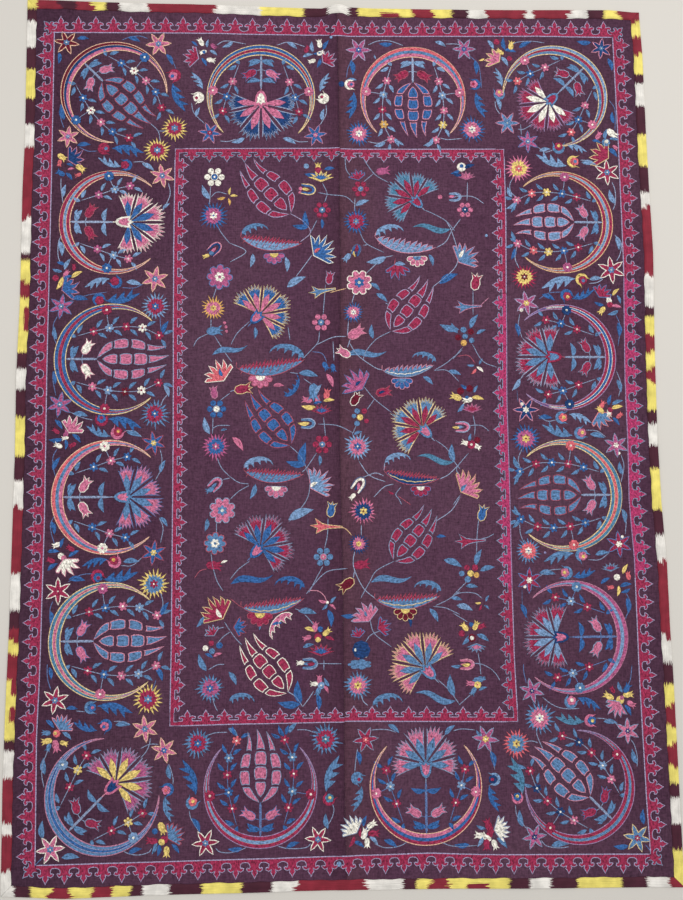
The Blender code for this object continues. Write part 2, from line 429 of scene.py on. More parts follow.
def ikatCotton(side):
    # warp-dyed cotton and silk tape: the dyed bands end in streaks along the warp
    half = (cloth["long"] if tapeSides[side][0] else cloth["wide"]) / 2
    material, tree, shader = newMaterial("ikat tape " + side, tape["finish"])
    flat = addNode(tree, "UVMap", {"uv_map": "thread"}).outputs[0]
    uv = addNode(tree, "SeparateXYZ", {}, [flat])
    stretched = addNode(tree, "Mapping", {}, {"Vector": flat, "Scale": tape["streaks"]})
    streaks = addNode(tree, "TexNoise", {}, {
        "Vector": stretched.outputs[0], "Scale": 1.0, "Detail": 3.0, "Roughness": 0.6})
    feather = tape["feather"]
    run = addNode(tree, "MapRange", {}, [streaks.outputs["Fac"], 0.25, 0.75, -feather, feather])
    moved = addNode(tree, "Math", {"operation": "ADD"}, [uv.outputs["X"], run.outputs[0]])
    along = addNode(tree, "Math", {"operation": "DIVIDE"}, [moved.outputs[0], 2 * half]).outputs[0]
    outer = dyeRamps(tree, tape[side], side, along)
    inner = dyeRamps(tree, tape[side + "Inner"], side, along)
    aside = addNode(tree, "Math", {"operation": "MULTIPLY"}, [run.outputs[0], 0.5])
    split = addNode(tree, "Math", {"operation": "ADD"}, [uv.outputs["Y"], aside.outputs[0]])
    isInner = addNode(tree, "Math", {"operation": "GREATER_THAN"}, [
        split.outputs[0], tape["wide"] * 0.5])
    dyed = addNode(tree, "Mix", {"data_type": "RGBA"}, {0: isInner.outputs[0], 6: outer, 7: inner})
    wear = addNode(tree, "TexNoise", {}, {"Vector": flat, "Scale": tape["wear"], "Detail": 5.0})
    fine = addNode(tree, "Math", {"operation": "MULTIPLY"}, [
        wear.outputs["Fac"], streaks.outputs["Fac"]])
    depth = addNode(tree, "MapRange", {}, [fine.outputs[0], 0.12, 0.38, *tape["depth"]])
    colour = addNode(tree, "Mix", {"data_type": "RGBA", "blend_type": "MULTIPLY"}, {
        0: 1.0, 6: dyed.outputs[2], 7: depth.outputs[0]})
    tree.links.new(colour.outputs[2], shader.inputs["Base Color"])
    ribs = addNode(tree, "TexWave", {"bands_direction": "X"}, {
        "Vector": flat, "Scale": math.pi / 10 / tape["ribs"], "Distortion": 0.4})
    bump = addNode(tree, "Bump", {}, {
        "Strength": 0.4, "Distance": 0.0004, "Height": ribs.outputs["Fac"]})
    tree.links.new(bump.outputs[0], shader.inputs["Normal"])
    return material


def makeTape(side):
    upright, sign, _ = tapeSides[side]
    halfAlong = (cloth["long"] if upright else cloth["wide"]) / 2
    halfAway = (cloth["wide"] if upright else cloth["long"]) / 2
    top = 2 * (cloth["tape"] + cloth["gap"]) + cloth["thick"]
    thick = cloth["tape"]
    wide = tape["wide"]
    # the folded tape cut across: inset from the fold, height, and distance along the cut
    fold = [(top / 2 * (1 - math.cos(a)), top / 2 * (1 - math.sin(a)))
            for a in np.linspace(-math.pi / 2, math.pi / 2, 7)]
    outside = [(wide, top), (wide * 0.62, top + 0.0004), (wide * 0.3, top + 0.0005), *fold, (wide, 0.0)]
    inside = [(wide, thick), (top / 2, thick), (thick, top / 2), (top / 2, top - thick),
              (wide, top - thick)]
    section = np.array(outside + inside)
    stations = np.linspace(-halfAlong, halfAlong, round(2 * halfAlong / tape["step"]) + 1)
    ring = len(section)
    insets = np.broadcast_to(section[:, 0], (len(stations), ring)).copy()
    along = np.broadcast_to(stations[:, None], insets.shape)
    # the hand-turned edge of the tape wavers
    waver = 0.0007 * np.sin(along * 2 * math.pi / 0.047 + 3 * sign)
    waver += 0.0006 * np.sin(along * 2 * math.pi / 0.111)
    insets += np.where(insets > wide * 0.9, waver, 0)
    limit = halfAlong - insets - cloth["gap"] / math.sqrt(2)
    place = np.clip(along, -limit, limit)
    away = sign * (halfAway - insets)
    x, y = (away, place) if upright else (place, away)
    xLaid, yLaid = laid(x, y)
    tuck = cloth["tape"] + cloth["gap"]
    height = section[:, 1] + np.maximum(underside(x, y) - tuck, 0)
    ripple = 0.0002 * np.sin(place * 2 * math.pi / 0.031)
    height = height + np.where(section[:, 1] > top * 0.9, ripple, 0)
    verts = np.stack([xLaid, yLaid, height], -1).reshape(-1, 3)
    girth = np.concatenate([[0], np.cumsum(np.hypot(*np.diff(section, axis=0).T))])
    uvs = np.stack([place + halfAlong, wide - np.broadcast_to(girth, place.shape)], -1).reshape(-1, 2)
    faces = []
    for row in range(len(stations) - 1):
        for number in range(ring):
            a = row * ring + number
            b = row * ring + (number + 1) % ring
            quad = (a, b, b + ring, a + ring)
            faces.append(quad if upright == (sign > 0) else quad[::-1])
    ends = (tuple(range(ring)), tuple(range(len(verts) - ring, len(verts)))[::-1])
    faces += [end[::-1] for end in ends] if upright == (sign > 0) else list(ends)
    piece = meshPiece("tape_" + side, verts, faces, uvs, [ikatCotton(side)], [0] * len(faces),
                      [True] * (len(faces) - 2) + [False] * 2)
    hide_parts("binding_" + side)
    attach(piece, "root")


for side in tapeSides:
    makeTape(side)
print("tape is folded round the edges")

# silk thread and how it is laid
silk = {  # sRGB of each dyed silk
    "crimson": "9B2D4E", "cerise": "B03866", "wine": "6A142A", "pink": "CA708F", "rose": "AF5882",
    "coral": "D6666F", "peach": "E6B184", "yellow": "E3C675", "gold": "D9A95E", "cream": "EFE9DA",
    "sky": "7A98BD", "steel": "5D82AB", "blue": "36639D", "teal": "51809F", "navy": "1E3F71",
    "lilac": "928DB8", "mauve": "80609A",
}
stitching = {  # metres
    "chainHigh": 0.0009,
    "fillHigh": 0.00055,
    "fillEdge": 0.0008,
    "spread": 0.0115,  # how far apart a wide shape's inner points are
    "layer": 0.00004,  # each shape lies this much over the one stitched before it
    "layers": 10,
    "level": 0.0005,  # what is stitched on top of another shape, such as a flower's middle
}
lineWide = {  # of each chain stitched line, metres
    "plain": 0.0024, "button": 0.0018, "star": 0.0028, "lily": 0.0026, "bud": 0.0023,
    "horn": 0.0024, "tulip": 0.0026, "petal": 0.0033, "vein": 0.0015, "calyx": 0.0030,
    "half": 0.0020, "halfVein": 0.0013, "keel": 0.0026, "flame": 0.0019, "stripe": 0.0020,
    "tooth": 0.0021, "toothFoot": 0.0026, "crescentEdge": 0.0029, "crescentBand": 0.0022,
    "trunk": 0.0054, "budStem": 0.0018, "vine": 0.0019, "tie": 0.0017, "stem": 0.0020,
    "cup": 0.0030, "lotus": 0.0019, "bloom": 0.0030,
}
mm = 0.001
work = {name: {"verts": [], "faces": [], "uvs": [], "chained": [], "count": 0} for name in silk}
chance = np.random.default_rng(7)
shapesSoFar = [0]


def addWork(colour, flat, rise, faces, uvs, chained):
    heap = work[colour]
    points = onCloth(flat)
    points[:, 2] += rise
    heap["verts"].append(points)
    heap["uvs"].append(np.stack([uvs.real, uvs.imag], -1))
    start = heap["count"]
    heap["faces"] += [tuple(start + corner for corner in face) for face in faces]
    heap["chained"] += [chained] * len(faces)
    heap["count"] += len(flat)


def layer(level):
    shapesSoFar[0] += 1
    return (shapesSoFar[0] % stitching["layers"]) * stitching["layer"] + level * stitching["level"]


def offsets(points, closed):
    # at each point, the way to the left, longer at a corner so that a border keeps its width
    step = np.diff(np.concatenate([points, points[:1]])) if closed else np.diff(points)
    way = 1j * step / np.maximum(np.abs(step), 1e-9)
    if closed:
        both = way + np.roll(way, 1)
    else:
        both = np.concatenate([way[:1] * 2, way[1:] + way[:-1], way[-1:] * 2])
    return 2 * both / np.maximum(np.abs(both) ** 2, 1.0)


def within(places, ring):
    # which places lie inside a closed line
    ahead = np.roll(ring, -1)
    above = (ring.imag > places.imag[:, None]) != (ahead.imag > places.imag[:, None])
    rise = np.where(ahead.imag == ring.imag, 1e-12, ahead.imag - ring.imag)
    cross = ring.real + (places.imag[:, None] - ring.imag) / rise * (ahead.real - ring.real)
    return (above & (places.real[:, None] < cross)).sum(axis=1) % 2 == 1


def spread(ring, count):
    # triangles over a wide shape, with points inside it too so that they follow the cloth
    grid = stitching["spread"]
    across = np.arange(ring.real.min() + grid / 2, ring.real.max(), grid)
    along = np.arange(ring.imag.min() + grid / 2, ring.imag.max(), grid)
    places = (across[:, None] + 1j * along).ravel()
    places = places[within(places, ring)] if len(places) else places
    corners = [(place.real, place.imag) for place in np.concatenate([ring, places])]
    verts, _, faces, origins = delaunay_2d_cdt(corners, [], [list(range(count))], 1, 1e-7)[:4]
    extra = [i for i, origin in enumerate(origins) if not origin]
    used = [origin[0] if origin else len(corners) + extra.index(i) for i, origin in enumerate(origins)]
    places = np.concatenate([places, [complex(*verts[i]) for i in extra]])
    return places, [tuple(used[corner] for corner in face) for face in faces]


def fill(colour, points, grain=None, level=0):
    # long stitches laid side by side over a closed shape, and couched down
    points = np.asarray(points, complex)
    ahead = np.roll(points, -1)
    area = 0.5 * np.sum(points.real * ahead.imag - ahead.real * points.imag)
    if area < 0:
        points = points[::-1]
    around = np.abs(np.diff(points)).sum() + 1e-9
    edge = min(stitching["fillEdge"], 0.7 * abs(area) / around)
    inner = points + edge * offsets(points, True)
    count = len(points)
    lift = layer(level)
    faces = [(i, (i + 1) % count, count + (i + 1) % count, count + i) for i in range(count)]
    flat = np.concatenate([points, inner])
    if max(np.ptp(inner.real), np.ptp(inner.imag)) > 2 * stitching["spread"]:
        more, tops = spread(inner, count)
        flat = np.concatenate([flat, more])
        faces += [tuple(count + corner for corner in face) for face in tops]
    else:
        faces.append(tuple(range(count, 2 * count)))
    rise = np.full(len(flat), stitching["fillHigh"] + lift)
    rise[:count] = lift - 0.0001
    grain = chance.uniform(0, math.pi) if grain is None else grain
    shift = complex(*chance.uniform(0, 9, 2))
    addWork(colour, flat, rise, faces, flat * np.exp(-1j * grain) + shift, False)


def chain(colour, points, closed=False, wide=None, level=0):
    # a line of chain stitch
    points = np.asarray(points, complex)
    half = (wide or lineWide["plain"]) / 2
    away = offsets(points, closed) * half
    if not closed:
        away[0] *= 0.4
        away[-1] *= 0.4
    count = len(points)
    high = stitching["chainHigh"] * min(1.0, half / 0.0010)
    lift = layer(level)
    flat = np.stack([points + away, points, points - away], -1).ravel()
    rise = np.tile([0.0, high, 0.0], count) + lift
    run = np.concatenate([[0], np.cumsum(np.abs(np.diff(points)))]) + chance.uniform(0, 9)
    uvs = (run[:, None] + 1j * np.array([half, 0, -half])).ravel()
    faces = []
    for i in range(count if closed else count - 1):
        a, b = 3 * i, 3 * ((i + 1) % count)
        faces.append((a + 1, b + 1, b, a))
        faces.append((a + 2, b + 2, b + 1, a + 1))
    addWork(colour, flat, rise, faces, uvs, True)


def stitch(points, inside, line=None, grain=None, wide=None, level=0):
    # a filled shape, with a chain stitched line round it or without
    if inside:
        fill(inside, points, grain, level)
    if line:
        chain(line, points, True, wide, level)


def ribbon(colour, first, second):
    # a filled band between two lines
    count = len(first)
    flat = np.concatenate([first, second])
    faces = [(i, i + 1, count + i + 1, count + i) for i in range(count - 1)]
    edge = (first[1] - first[0]) * np.conj(second[0] - first[0])
    if edge.imag > 0:
        faces = [face[::-1] for face in faces]
    run = np.concatenate([[0], np.cumsum(np.abs(np.diff(first)))]) + chance.uniform(0, 9)
    wide = np.abs(second - first)
    uvs = np.concatenate([run + 0j, run + 1j * wide])
    addWork(colour, flat, np.full(2 * count, stitching["fillHigh"] + layer(0)), faces, uvs, False)


def put(at, turn, size):
    # shapes are drawn growing along +x from the origin, and this brings them to their place and size
    swing = size * mm * np.exp(1j * math.radians(turn))
    return lambda points: at + swing * np.asarray(points)


def smooth(points, steps=5):
    # a soft curve through the points
    points = np.asarray(points, complex)
    around = np.concatenate([2 * points[:1] - points[1:2], points, 2 * points[-1:] - points[-2:-1]])
    before, start, end, after = around[:-3], around[1:-2], around[2:-1], around[3:]
    t = np.arange(steps)[:, None] / steps
    curve = 0.5 * (2 * start + (end - before) * t + (2 * before - 5 * start + 4 * end - after) * t ** 2
                   + (3 * start - before - 3 * end + after) * t ** 3)
    return np.append(curve.T.ravel(), points[-1])


def stem(colour, *places, wide=None):
    chain(colour, smooth(places), wide=wide)


# the shapes that a suzani is drawn from, each 1 long or 1 in radius


def leafShape(wide, belly=0.42, bend=0.0):
    s = np.linspace(0, 1, 7)
    half = wide / 2 * np.sin(math.pi * s ** (math.log(0.5) / math.log(belly)))
    spine = s + 1j * bend * np.sin(math.pi * s)
    return np.concatenate([spine - 1j * half, (spine + 1j * half)[-2:0:-1]])


def disc(count):
    return np.exp(2j * math.pi * np.arange(count) / count)


def lobed(petals, depth):
    angle = np.arange(petals * 4) / (petals * 4) * 2 * math.pi
    reach = 1 - depth + depth * np.abs(np.sin(angle * petals / 2)) ** 0.6
    return reach * np.exp(1j * angle)


def spiked(spikes, depth, sway=0.0):
    angle = np.arange(2 * spikes) * math.pi / spikes
    reach = np.where(np.arange(2 * spikes) % 2, 1 - depth, 1.0)
    angle = angle + np.where(np.arange(2 * spikes) % 2, 0, sway)
    return reach * np.exp(1j * angle)


def sawLeaf(teeth=3, wide=0.3):
    # one side is smooth and bowed, and hooks on the other lean to the tip, as on a saz leaf
    def spine(s):
        return s - 0.09j * np.sin(math.pi * s)

    s = np.linspace(0, 1, 9)
    low = spine(s) - 0.30j * wide * np.sin(math.pi * s ** 0.8)
    high = []
    for number in range(teeth):
        foot = 0.10 + 0.70 * number / teeth
        body = 0.34 * wide * math.sin(math.pi * (foot + 0.1) ** 0.8)
        high += [spine(foot) + 0.60j * body, spine(foot + 0.09) + 1j * (body + 0.16 * wide),
                 spine(foot + 0.25) + 1j * (body + 0.50 * wide), spine(foot + 0.20) + 0.85j * body]
    high.append(spine(0.92) + 0.12j * wide)
    return np.concatenate([low, high[::-1], [0.05j * wide]])


def combLeaf(teeth=5, wide=0.21):
    # a comma leaf: a curl with a comb along its inner side
    t = np.linspace(0, 1, 10)

    def arc(s):
        around = np.exp(1j * math.pi * (1 - s) ** 0.92)
        return 0.5 + 0.5 * around.real + 0.34j * around.imag

    thick = wide * np.sin(math.pi * t ** 0.62)
    inner = []
    for number in range(teeth):
        for part, deep in ((0.0, 0.80), (0.55, 0.95), (0.95, 1.75)):
            s = 0.14 + 0.74 * (number + part) / teeth
            inner.append(arc(s) - 1j * np.interp(s, t, thick) * deep)
    return np.concatenate([arc(t), inner[::-1]])


def waveLeaf(wide=0.16):
    s = np.linspace(0, 1, 10)
    half = wide / 2 * np.sin(math.pi * s ** 0.75)
    spine = s + 0.065j * np.sin(2 * math.pi * s)
    return np.concatenate([spine - 1j * half, (spine + 1j * half)[-2:0:-1]])


# the motifs: place x + iy in metres, turn in degrees, length or radius in mm, and silks


def leaf(at, turn, length, colour, wide=0.36, bend=0.08, level=0):
    fill(colour, put(at, turn, length)(leafShape(wide, bend=bend)), math.radians(turn), level)


def saw(at, turn, length, silks, side=1):
    shape = sawLeaf() if side > 0 else np.conj(sawLeaf())
    fill(silks[0], put(at, turn, length)(shape), math.radians(turn))


def comma(at, turn, length, silks):
    # fill, line if there are three words, and x where it curls the other way
    shape = np.conj(combLeaf()) if silks[-1] == "x" else combLeaf()
    stitch(put(at, turn, length)(shape), silks[0], silks[1] if len(silks) == 3 else None,
           math.radians(turn))


def wave(at, turn, length, silks):
    fill(silks[0], put(at, turn, length)(waveLeaf()), math.radians(turn))


def dot(at, radius, colour, count=8, level=0):
    fill(colour, at + radius * mm * disc(count), None, level)


def daisy(at, turn, radius, silks, level=0):
    # a small garland flower: petals, middle
    fill(silks[0], put(at, turn, radius)(lobed(6, 0.42)), None, level)
    dot(at, radius * 0.26, silks[1], 6, level + 1)


def rosette(at, radius, silks):
    # six round petals set apart round a button: petals, the button's line, the button
    outer, line, middle = silks
    for number in range(6):
        centre = at + 0.70 * radius * mm * np.exp(1j * math.radians(60 * number))
        fill(outer, centre + 0.32 * radius * mm * disc(9))
    dot(at, radius * 0.32, middle, 9, 1)
    chain(line, at + radius * 0.36 * mm * disc(10), True, lineWide["button"], 1)
    dot(at, radius * 0.11, "cream", 6, 2)


def star(at, turn, radius, silks):
    # six pointed petals: petal, its line, the button
    petal, line, middle = silks
    corners = []
    for number in range(6):
        for part, reach in ((-0.5, 0.36), (-0.24, 0.58), (-0.17, 0.72), (0, 1.0), (0.17, 0.72),
                            (0.24, 0.58)):
            corners.append(reach * np.exp(1j * math.radians((number + part) * 60)))
    stitch(put(at, turn, radius)(corners), petal, line, wide=lineWide["star"])
    daisy(at, turn, radius * 0.27, (middle, "cream"), 1)


def burst(at, turn, radius, silks, spikes=20):
    # a round flower with a fringe: fringe, disc, button
    fringe, inside, middle = silks
    outer = spiked(spikes, 0.42, 0.07) * (1 + 0.075 * chance.standard_normal(2 * spikes))
    inner = spiked(spikes - 4, 0.24) * (1 + 0.07 * chance.standard_normal(2 * spikes - 8))
    fill(fringe, put(at, turn, radius)(outer))
    fill(inside, put(at, turn + 9, 0.66 * radius)(inner), None, 1)
    button = {"cream": "blue", "yellow": "wine", "navy": "cream"}.get(middle, "cream")
    daisy(at, turn, radius * 0.29, (middle, button), 2)


def rose(at, turn, radius, silks):
    # a full flower seen from the side, cupped in a sepal with two long tips: petals, sepal, heart
    petals, sepals, heart = silks
    go = put(at, turn, radius)
    back = np.exp(1j * np.radians(np.linspace(62, 298, 13)))
    cupped = np.concatenate([[0.98 + 1.02j], back * 0.98 - 0.05, [0.98 - 1.02j, 0.30 - 0.60j],
                             0.55 * np.exp(1j * np.radians(np.linspace(290, 70, 7))), [0.30 + 0.60j]])
    fill(sepals, go(cupped))
    fill(petals, go(0.70 * lobed(5, 0.18) + 0.16), None, 1)
    dot(go(0.26 + 0j), radius * 0.30, heart, 7, 2)


def lily(at, turn, length, silks):
    # a spiked bud: fill, line, and its spikes where there aren't five
    points = int(silks[2]) if len(silks) > 2 else 5
    half = 54 if points == 5 else 58
    tips = np.linspace(-half, half, points)
    step = tips[1] - tips[0]
    corners = [0j]
    for angle in tips:
        reach = (1.0 - 0.22 * abs(angle) / 62) * (1 + 0.05 * chance.standard_normal())
        bend = 2 + 3 * chance.standard_normal()
        for far, aside in ((0.70, -0.30 * step), (reach, bend), (0.72, 0.24 * step),
                           (0.50, 0.5 * step)):
            corners.append(far * np.exp(1j * math.radians(angle + aside)))
    corners.pop()
    stitch(put(at, turn, length)(corners), *silks[:2], math.radians(turn), lineWide["lily"])


def bud(at, turn, length, silks):
    # a tulip bud with three turned out tips: fill, line if there is one
    shape = [0, 0.12 - 0.2j, 0.42 - 0.27j, 0.7 - 0.2j, 1.0 - 0.34j, 0.82 - 0.07j, 1.06,
             0.82 + 0.07j, 1.0 + 0.34j, 0.7 + 0.2j, 0.42 + 0.27j, 0.12 + 0.2j]
    inside, line = (*silks, None)[:2]
    stitch(put(at, turn, length)(shape), inside, line, math.radians(turn), lineWide["bud"])


def horn(at, turn, length, silks):
    # a slim trumpet with three tips: fill, line
    shape = [-0.02j, 0.40 - 0.045j, 0.62 - 0.085j, 0.84 - 0.24j, 0.76 - 0.05j, 1.0 - 0.02j,
             0.76 + 0.06j, 0.80 + 0.22j, 0.58 + 0.095j, 0.38 + 0.05j, 0.02j]
    stitch(put(at, turn, length)(shape), *silks, math.radians(turn), lineWide["horn"])


def tulip(at, turn, length, silks, wide=1.0, lean=1):
    # three columns of cells, whose tips part and lean like flames: cell, line
    go = put(at, turn, length)
    columns = {  # where a column runs and how wide it is, from the base to the tip
        0: ((0.07, 0.13, 0.20, 0.27, 0.32, 0.40, 0.475, 0.52, 0.60, 0.685, 0.73, 0.86, 1.0),
            (0.0,) * 13,
            (0.006, 0.042, 0.066, 0.073, 0.072, 0.080, 0.077, 0.076, 0.079, 0.071, 0.056, 0.027, 0.0)),
        1: ((0.0, 0.06, 0.13, 0.20, 0.24, 0.34, 0.42, 0.485, 0.57, 0.655, 0.71, 0.84, 0.97),
            (0.020, 0.104, 0.166, 0.202, 0.212, 0.226, 0.228, 0.226, 0.212, 0.190, 0.168, 0.146, 0.134),
            (0.006, 0.038, 0.050, 0.052, 0.055, 0.063, 0.061, 0.059, 0.059, 0.050, 0.038, 0.018, 0.0)),
    }
    cells = {0: ((0.08, 0.27), (0.32, 0.475), (0.52, 0.685), (0.73, 1.0)),
             1: ((0.0, 0.20), (0.24, 0.42), (0.485, 0.655), (0.71, 0.97))}
    across = np.array([-1, -0.6, 0, 0.6, 1])
    for column in (-1, 1, 0):
        places, middles, halves = columns[abs(column)]
        for row, (low, high) in enumerate(cells[abs(column)]):
            full = 1 + 0.04 * chance.standard_normal()
            low += 0.006 * chance.standard_normal() * (row > 0)
            sway = 0.055 * lean * (row == 3)

            def edge(s, t):
                middle = np.interp(s, places, middles) * column
                middle = middle + sway * np.clip((s - low) / (high - low), 0, 1) ** 2
                return s + 1j * wide * (middle + t * full * np.interp(s, places, halves))

            s = np.linspace(low, high, 6)[1:-1]
            foot = edge(low + 0.010 * (1 - across ** 2) * (row > 0), across * 0.86)
            head = edge(high + 0.006 * (1 - across ** 2) * (row > 0), across * 0.80)
            if row == 0:
                foot = foot[2:3]
            if row == 3:
                head = head[2:3]
            corners = np.concatenate([edge(s, -1)[::-1], foot, edge(s, 1), head[::-1]])
            stitch(go(corners), *silks, math.radians(turn), lineWide["tulip"])


def carnation(at, turn, reach, silks, petals=6, side=0.87):
    # fringed petals in a fan over a calyx: tip, heart, line, calyx, calyx line, the fan's degrees
    tip, heart, line, calyxFill, calyxLine, *fan = silks
    span = float(fan[0]) if fan else 228
    go = put(at, turn, reach)
    calyx = np.array([-0.37, -0.32 - 0.08j, -0.20 - 0.14j, -0.06 - 0.155j, 0.07 - 0.18j,
                      0.02 - 0.07j, 0.13, 0.02 + 0.07j, 0.07 + 0.18j, -0.06 + 0.155j,
                      -0.20 + 0.14j, -0.32 + 0.08j])
    each = span / petals
    half = math.radians(each) / 2
    for number in range(petals):
        angle = -span / 2 + each * (number + 0.5)
        swing = np.exp(1j * math.radians(angle)) * (1 - (1 - side) * abs(angle) / 96)
        swing *= 1 + 0.03 * chance.standard_normal()
        flank = [0.06, 0.34 - 0.34j * half * 0.58, 0.58 - 0.58j * half * 0.70,
                 0.78 - 0.78j * half * 0.80]
        teeth = []
        for notch in range(6):
            a = half * (-0.82 + 0.328 * notch)
            long = 1.0 - 0.025 * abs(notch - 2.5) + 0.025 * chance.standard_normal()
            teeth.append(long * np.exp(1j * (a * 1.08)))
            if notch < 5:
                teeth.append((0.83 - 0.02 * abs(notch - 2)) * np.exp(1j * (a + 0.164 * half)))
        shape = np.array(flank + teeth + [np.conj(p) for p in flank[:0:-1]])
        stitch(go(shape * swing), tip, line, math.radians(turn + angle), lineWide["petal"])
        for vein in (-0.49, -0.16, 0.16, 0.49):
            ray = np.exp(1j * half * vein) * swing
            chain(line, go(np.array([0.77, 0.84, 0.91]) * ray), False, lineWide["vein"], 1)
        wedge = half * 0.72
        core = np.array([0.06, 0.24 - 0.24j * wedge * 0.9, 0.42 - 0.42j * wedge,
                         0.54 - 0.54j * wedge * 0.66, 0.72, 0.54 + 0.54j * wedge * 0.66,
                         0.42 + 0.42j * wedge, 0.24 + 0.24j * wedge * 0.9])
        fill(heart, go(core * swing), math.radians(turn + angle), 2)
    chain(calyxLine, go([-0.50, -0.42, -0.35]), wide=lineWide["calyx"])
    fill(calyxLine, go(calyx), None, 3)
    fill(calyxFill, go(0.64 * (calyx + 0.14) - 0.14), None, 4)


def halfFlower(at, turn, radius, silks, petals=5):
    # half a daisy under a feathered leaf: petal, line, middle
    petal, line, middle = silks
    angle = np.linspace(-math.pi / 2, math.pi / 2, petals * 4 + 1)
    reach = 0.78 + 0.22 * np.abs(np.sin((angle + math.pi / 2) * petals)) ** 0.6
    go = put(at, turn, radius)
    stitch(go(reach * np.exp(1j * angle)), petal, line, wide=lineWide["half"])
    for number in range(petals - 1):
        ray = np.exp(1j * math.pi * ((number + 1) / petals - 0.5))
        chain(line, go(np.array([0.30, 0.55, 0.78]) * ray), False, lineWide["halfVein"], 1)
    half = np.exp(1j * np.linspace(-math.pi / 2, math.pi / 2, 7))
    fill(middle, go(0.40 * half), None, 2)


def boat(at, turn, length, silks):
    # a leaf like a boat with flames along its deck: hull, flames, keel line, stripe or strokes
    hull, comb, keel, stripe = silks
    s = np.linspace(0, 1, 15)
    deep = np.sin(math.pi * s ** 0.9)
    low = s - 0.180j * deep ** 0.85
    go = put(at, turn, length)
    flames = 10 if comb == "pink" else 17
    pitch = 0.90 / flames
    crest = [0j]
    for number in range(flames):
        a = 0.04 + number * pitch
        tall = math.sin(math.pi * (0.14 + 0.74 * (number + 0.5) / flames))
        sway = chance.standard_normal() + 1j * chance.standard_normal()
        tip = 1.15 * pitch + 0.055j * tall + 0.010 * sway
        crest += [a - 0.068j * tall, a + 0.40 * pitch - 0.006j * tall, a + tip,
                  a + 0.98 * pitch - 0.015j * tall]
    crest = np.array(crest + [0.96 - 0.02j, 1.0])
    fill(hull, go(np.concatenate([crest[::-1], low[1:-1]])), math.radians(turn))
    chain(keel, go(low), wide=lineWide["keel"])
    chain(comb, go(crest))
    if comb != "pink":
        for number in range(1, 4 * flames, 4):
            fill(comb, go(crest[number:number + 4]), None, 1)
    if stripe == "-":
        for root in crest[5:-4:4 if comb == "pink" else 8]:
            stroke = go([root, root - 0.030 - 0.040j, root - 0.050 - 0.072j])
            chain(comb, stroke, False, lineWide["flame"], 1)
    else:
        middle = s[1:-1] - 1j * (0.118 * deep[1:-1] + 0.012 * (np.arange(13) % 2))
        chain(stripe, go(middle), False, lineWide["stripe"], 1)
    chain(comb, go([0.0, 0.004 + 0.045j, 0.012 + 0.085j]))


# the two toothed borders
borders = {
    "tooth": (  # half of a tooth: part of the pitch from its middle, part of its height
        (0.0, 1.0), (0.05, 0.88), (0.15, 0.72), (0.125, 0.63), (0.10, 0.55), (0.17, 0.60),
        (0.28, 0.64), (0.39, 0.57), (0.41, 0.47), (0.34, 0.44), (0.27, 0.48), (0.235, 0.38),
        (0.26, 0.25), (0.36, 0.17), (0.5, 0.15),
    ),
    "outer": (0.041, 1),  # the teeth's height in metres, and the side of the line they point to
    "inner": (0.033, -1),
    # runs of teeth: border, how many, silk, line, and the pixels that the run's foot goes through
    "runs": """
    outer 16 crimson lilac 52 32 160 32.5 250 34 330 35,
    outer 17 crimson lilac 330.5 36 430 36 500 36 612 37,
    outer 14 crimson lilac 613 37 619 150 622 220 624 277,
    outer 17 cerise steel 624 277 625.5 380 628 440 629.5 500 635 560 635.4 575,
    outer 15 crimson lilac 635.4 575 640 680 647 800 651 854,
    outer 17 crimson lilac 650 854.5 480 855 430 853.5 339 856.7,
    outer 16 crimson lilac 339 856.7 230 860 170 862 36 866,
    outer 46 crimson lilac 34.5 866 36 740 39 680 44 520 46 400 49 260 51 180 54 31,
    inner 9 crimson steel 183 149 340 148.5,
    inner 9 crimson lilac 340 149.5 496.5 149.5,
    inner 8 crimson lilac 503.8 156.5 505.5 220 505.8 294,
    inner 16 cerise steel 505.8 294 506.5 400 509 480 511.7 588,
    inner 7 crimson steel 511.7 588 514 660 517 711,
    inner 9 crimson lilac 508.5 721.3 344.5 720.8,
    inner 9 crimson lilac 344.5 721.6 230 724 178 725.5,
    inner 32 crimson lilac 170.3 713 171.6 650 173.5 440 174 250 175.4 157""",
    "corners": (  # small teeth on the diagonal: pixel, direction in degrees, height in mm, silk
        ((54, 31), 135, 36, "crimson"), ((613, 37), 45, 36, "crimson"),
        ((651, 854), -45, 36, "crimson"), ((34.5, 866), -135, 36, "crimson"),
    ),
    "elbows": (  # plain corners of the inner border: pixel and the reach of the arms in pixels
        ((175.5, 149), 7.5, 8), ((503.7, 149.5), -7.2, 7),
        ((517.5, 721.3), -9, -10.3), ((170, 725.7), 8, -12.7),
    ),
    "elbowWide": 3.8,  # pixels
}


def alongLine(line):
    # a function of the distance along a line that gives the place, and the way out to its left
    run = np.concatenate([[0], np.cumsum(np.abs(np.diff(line)))])

    def place(s, out):
        step = 0.02
        at = lambda d: np.interp(d, run, line.real) + 1j * np.interp(d, run, line.imag)
        way = at(np.minimum(s + step, run[-1])) - at(np.maximum(s - step, 0))
        return at(s) + 1j * way / np.abs(way) * out

    return place, run[-1]


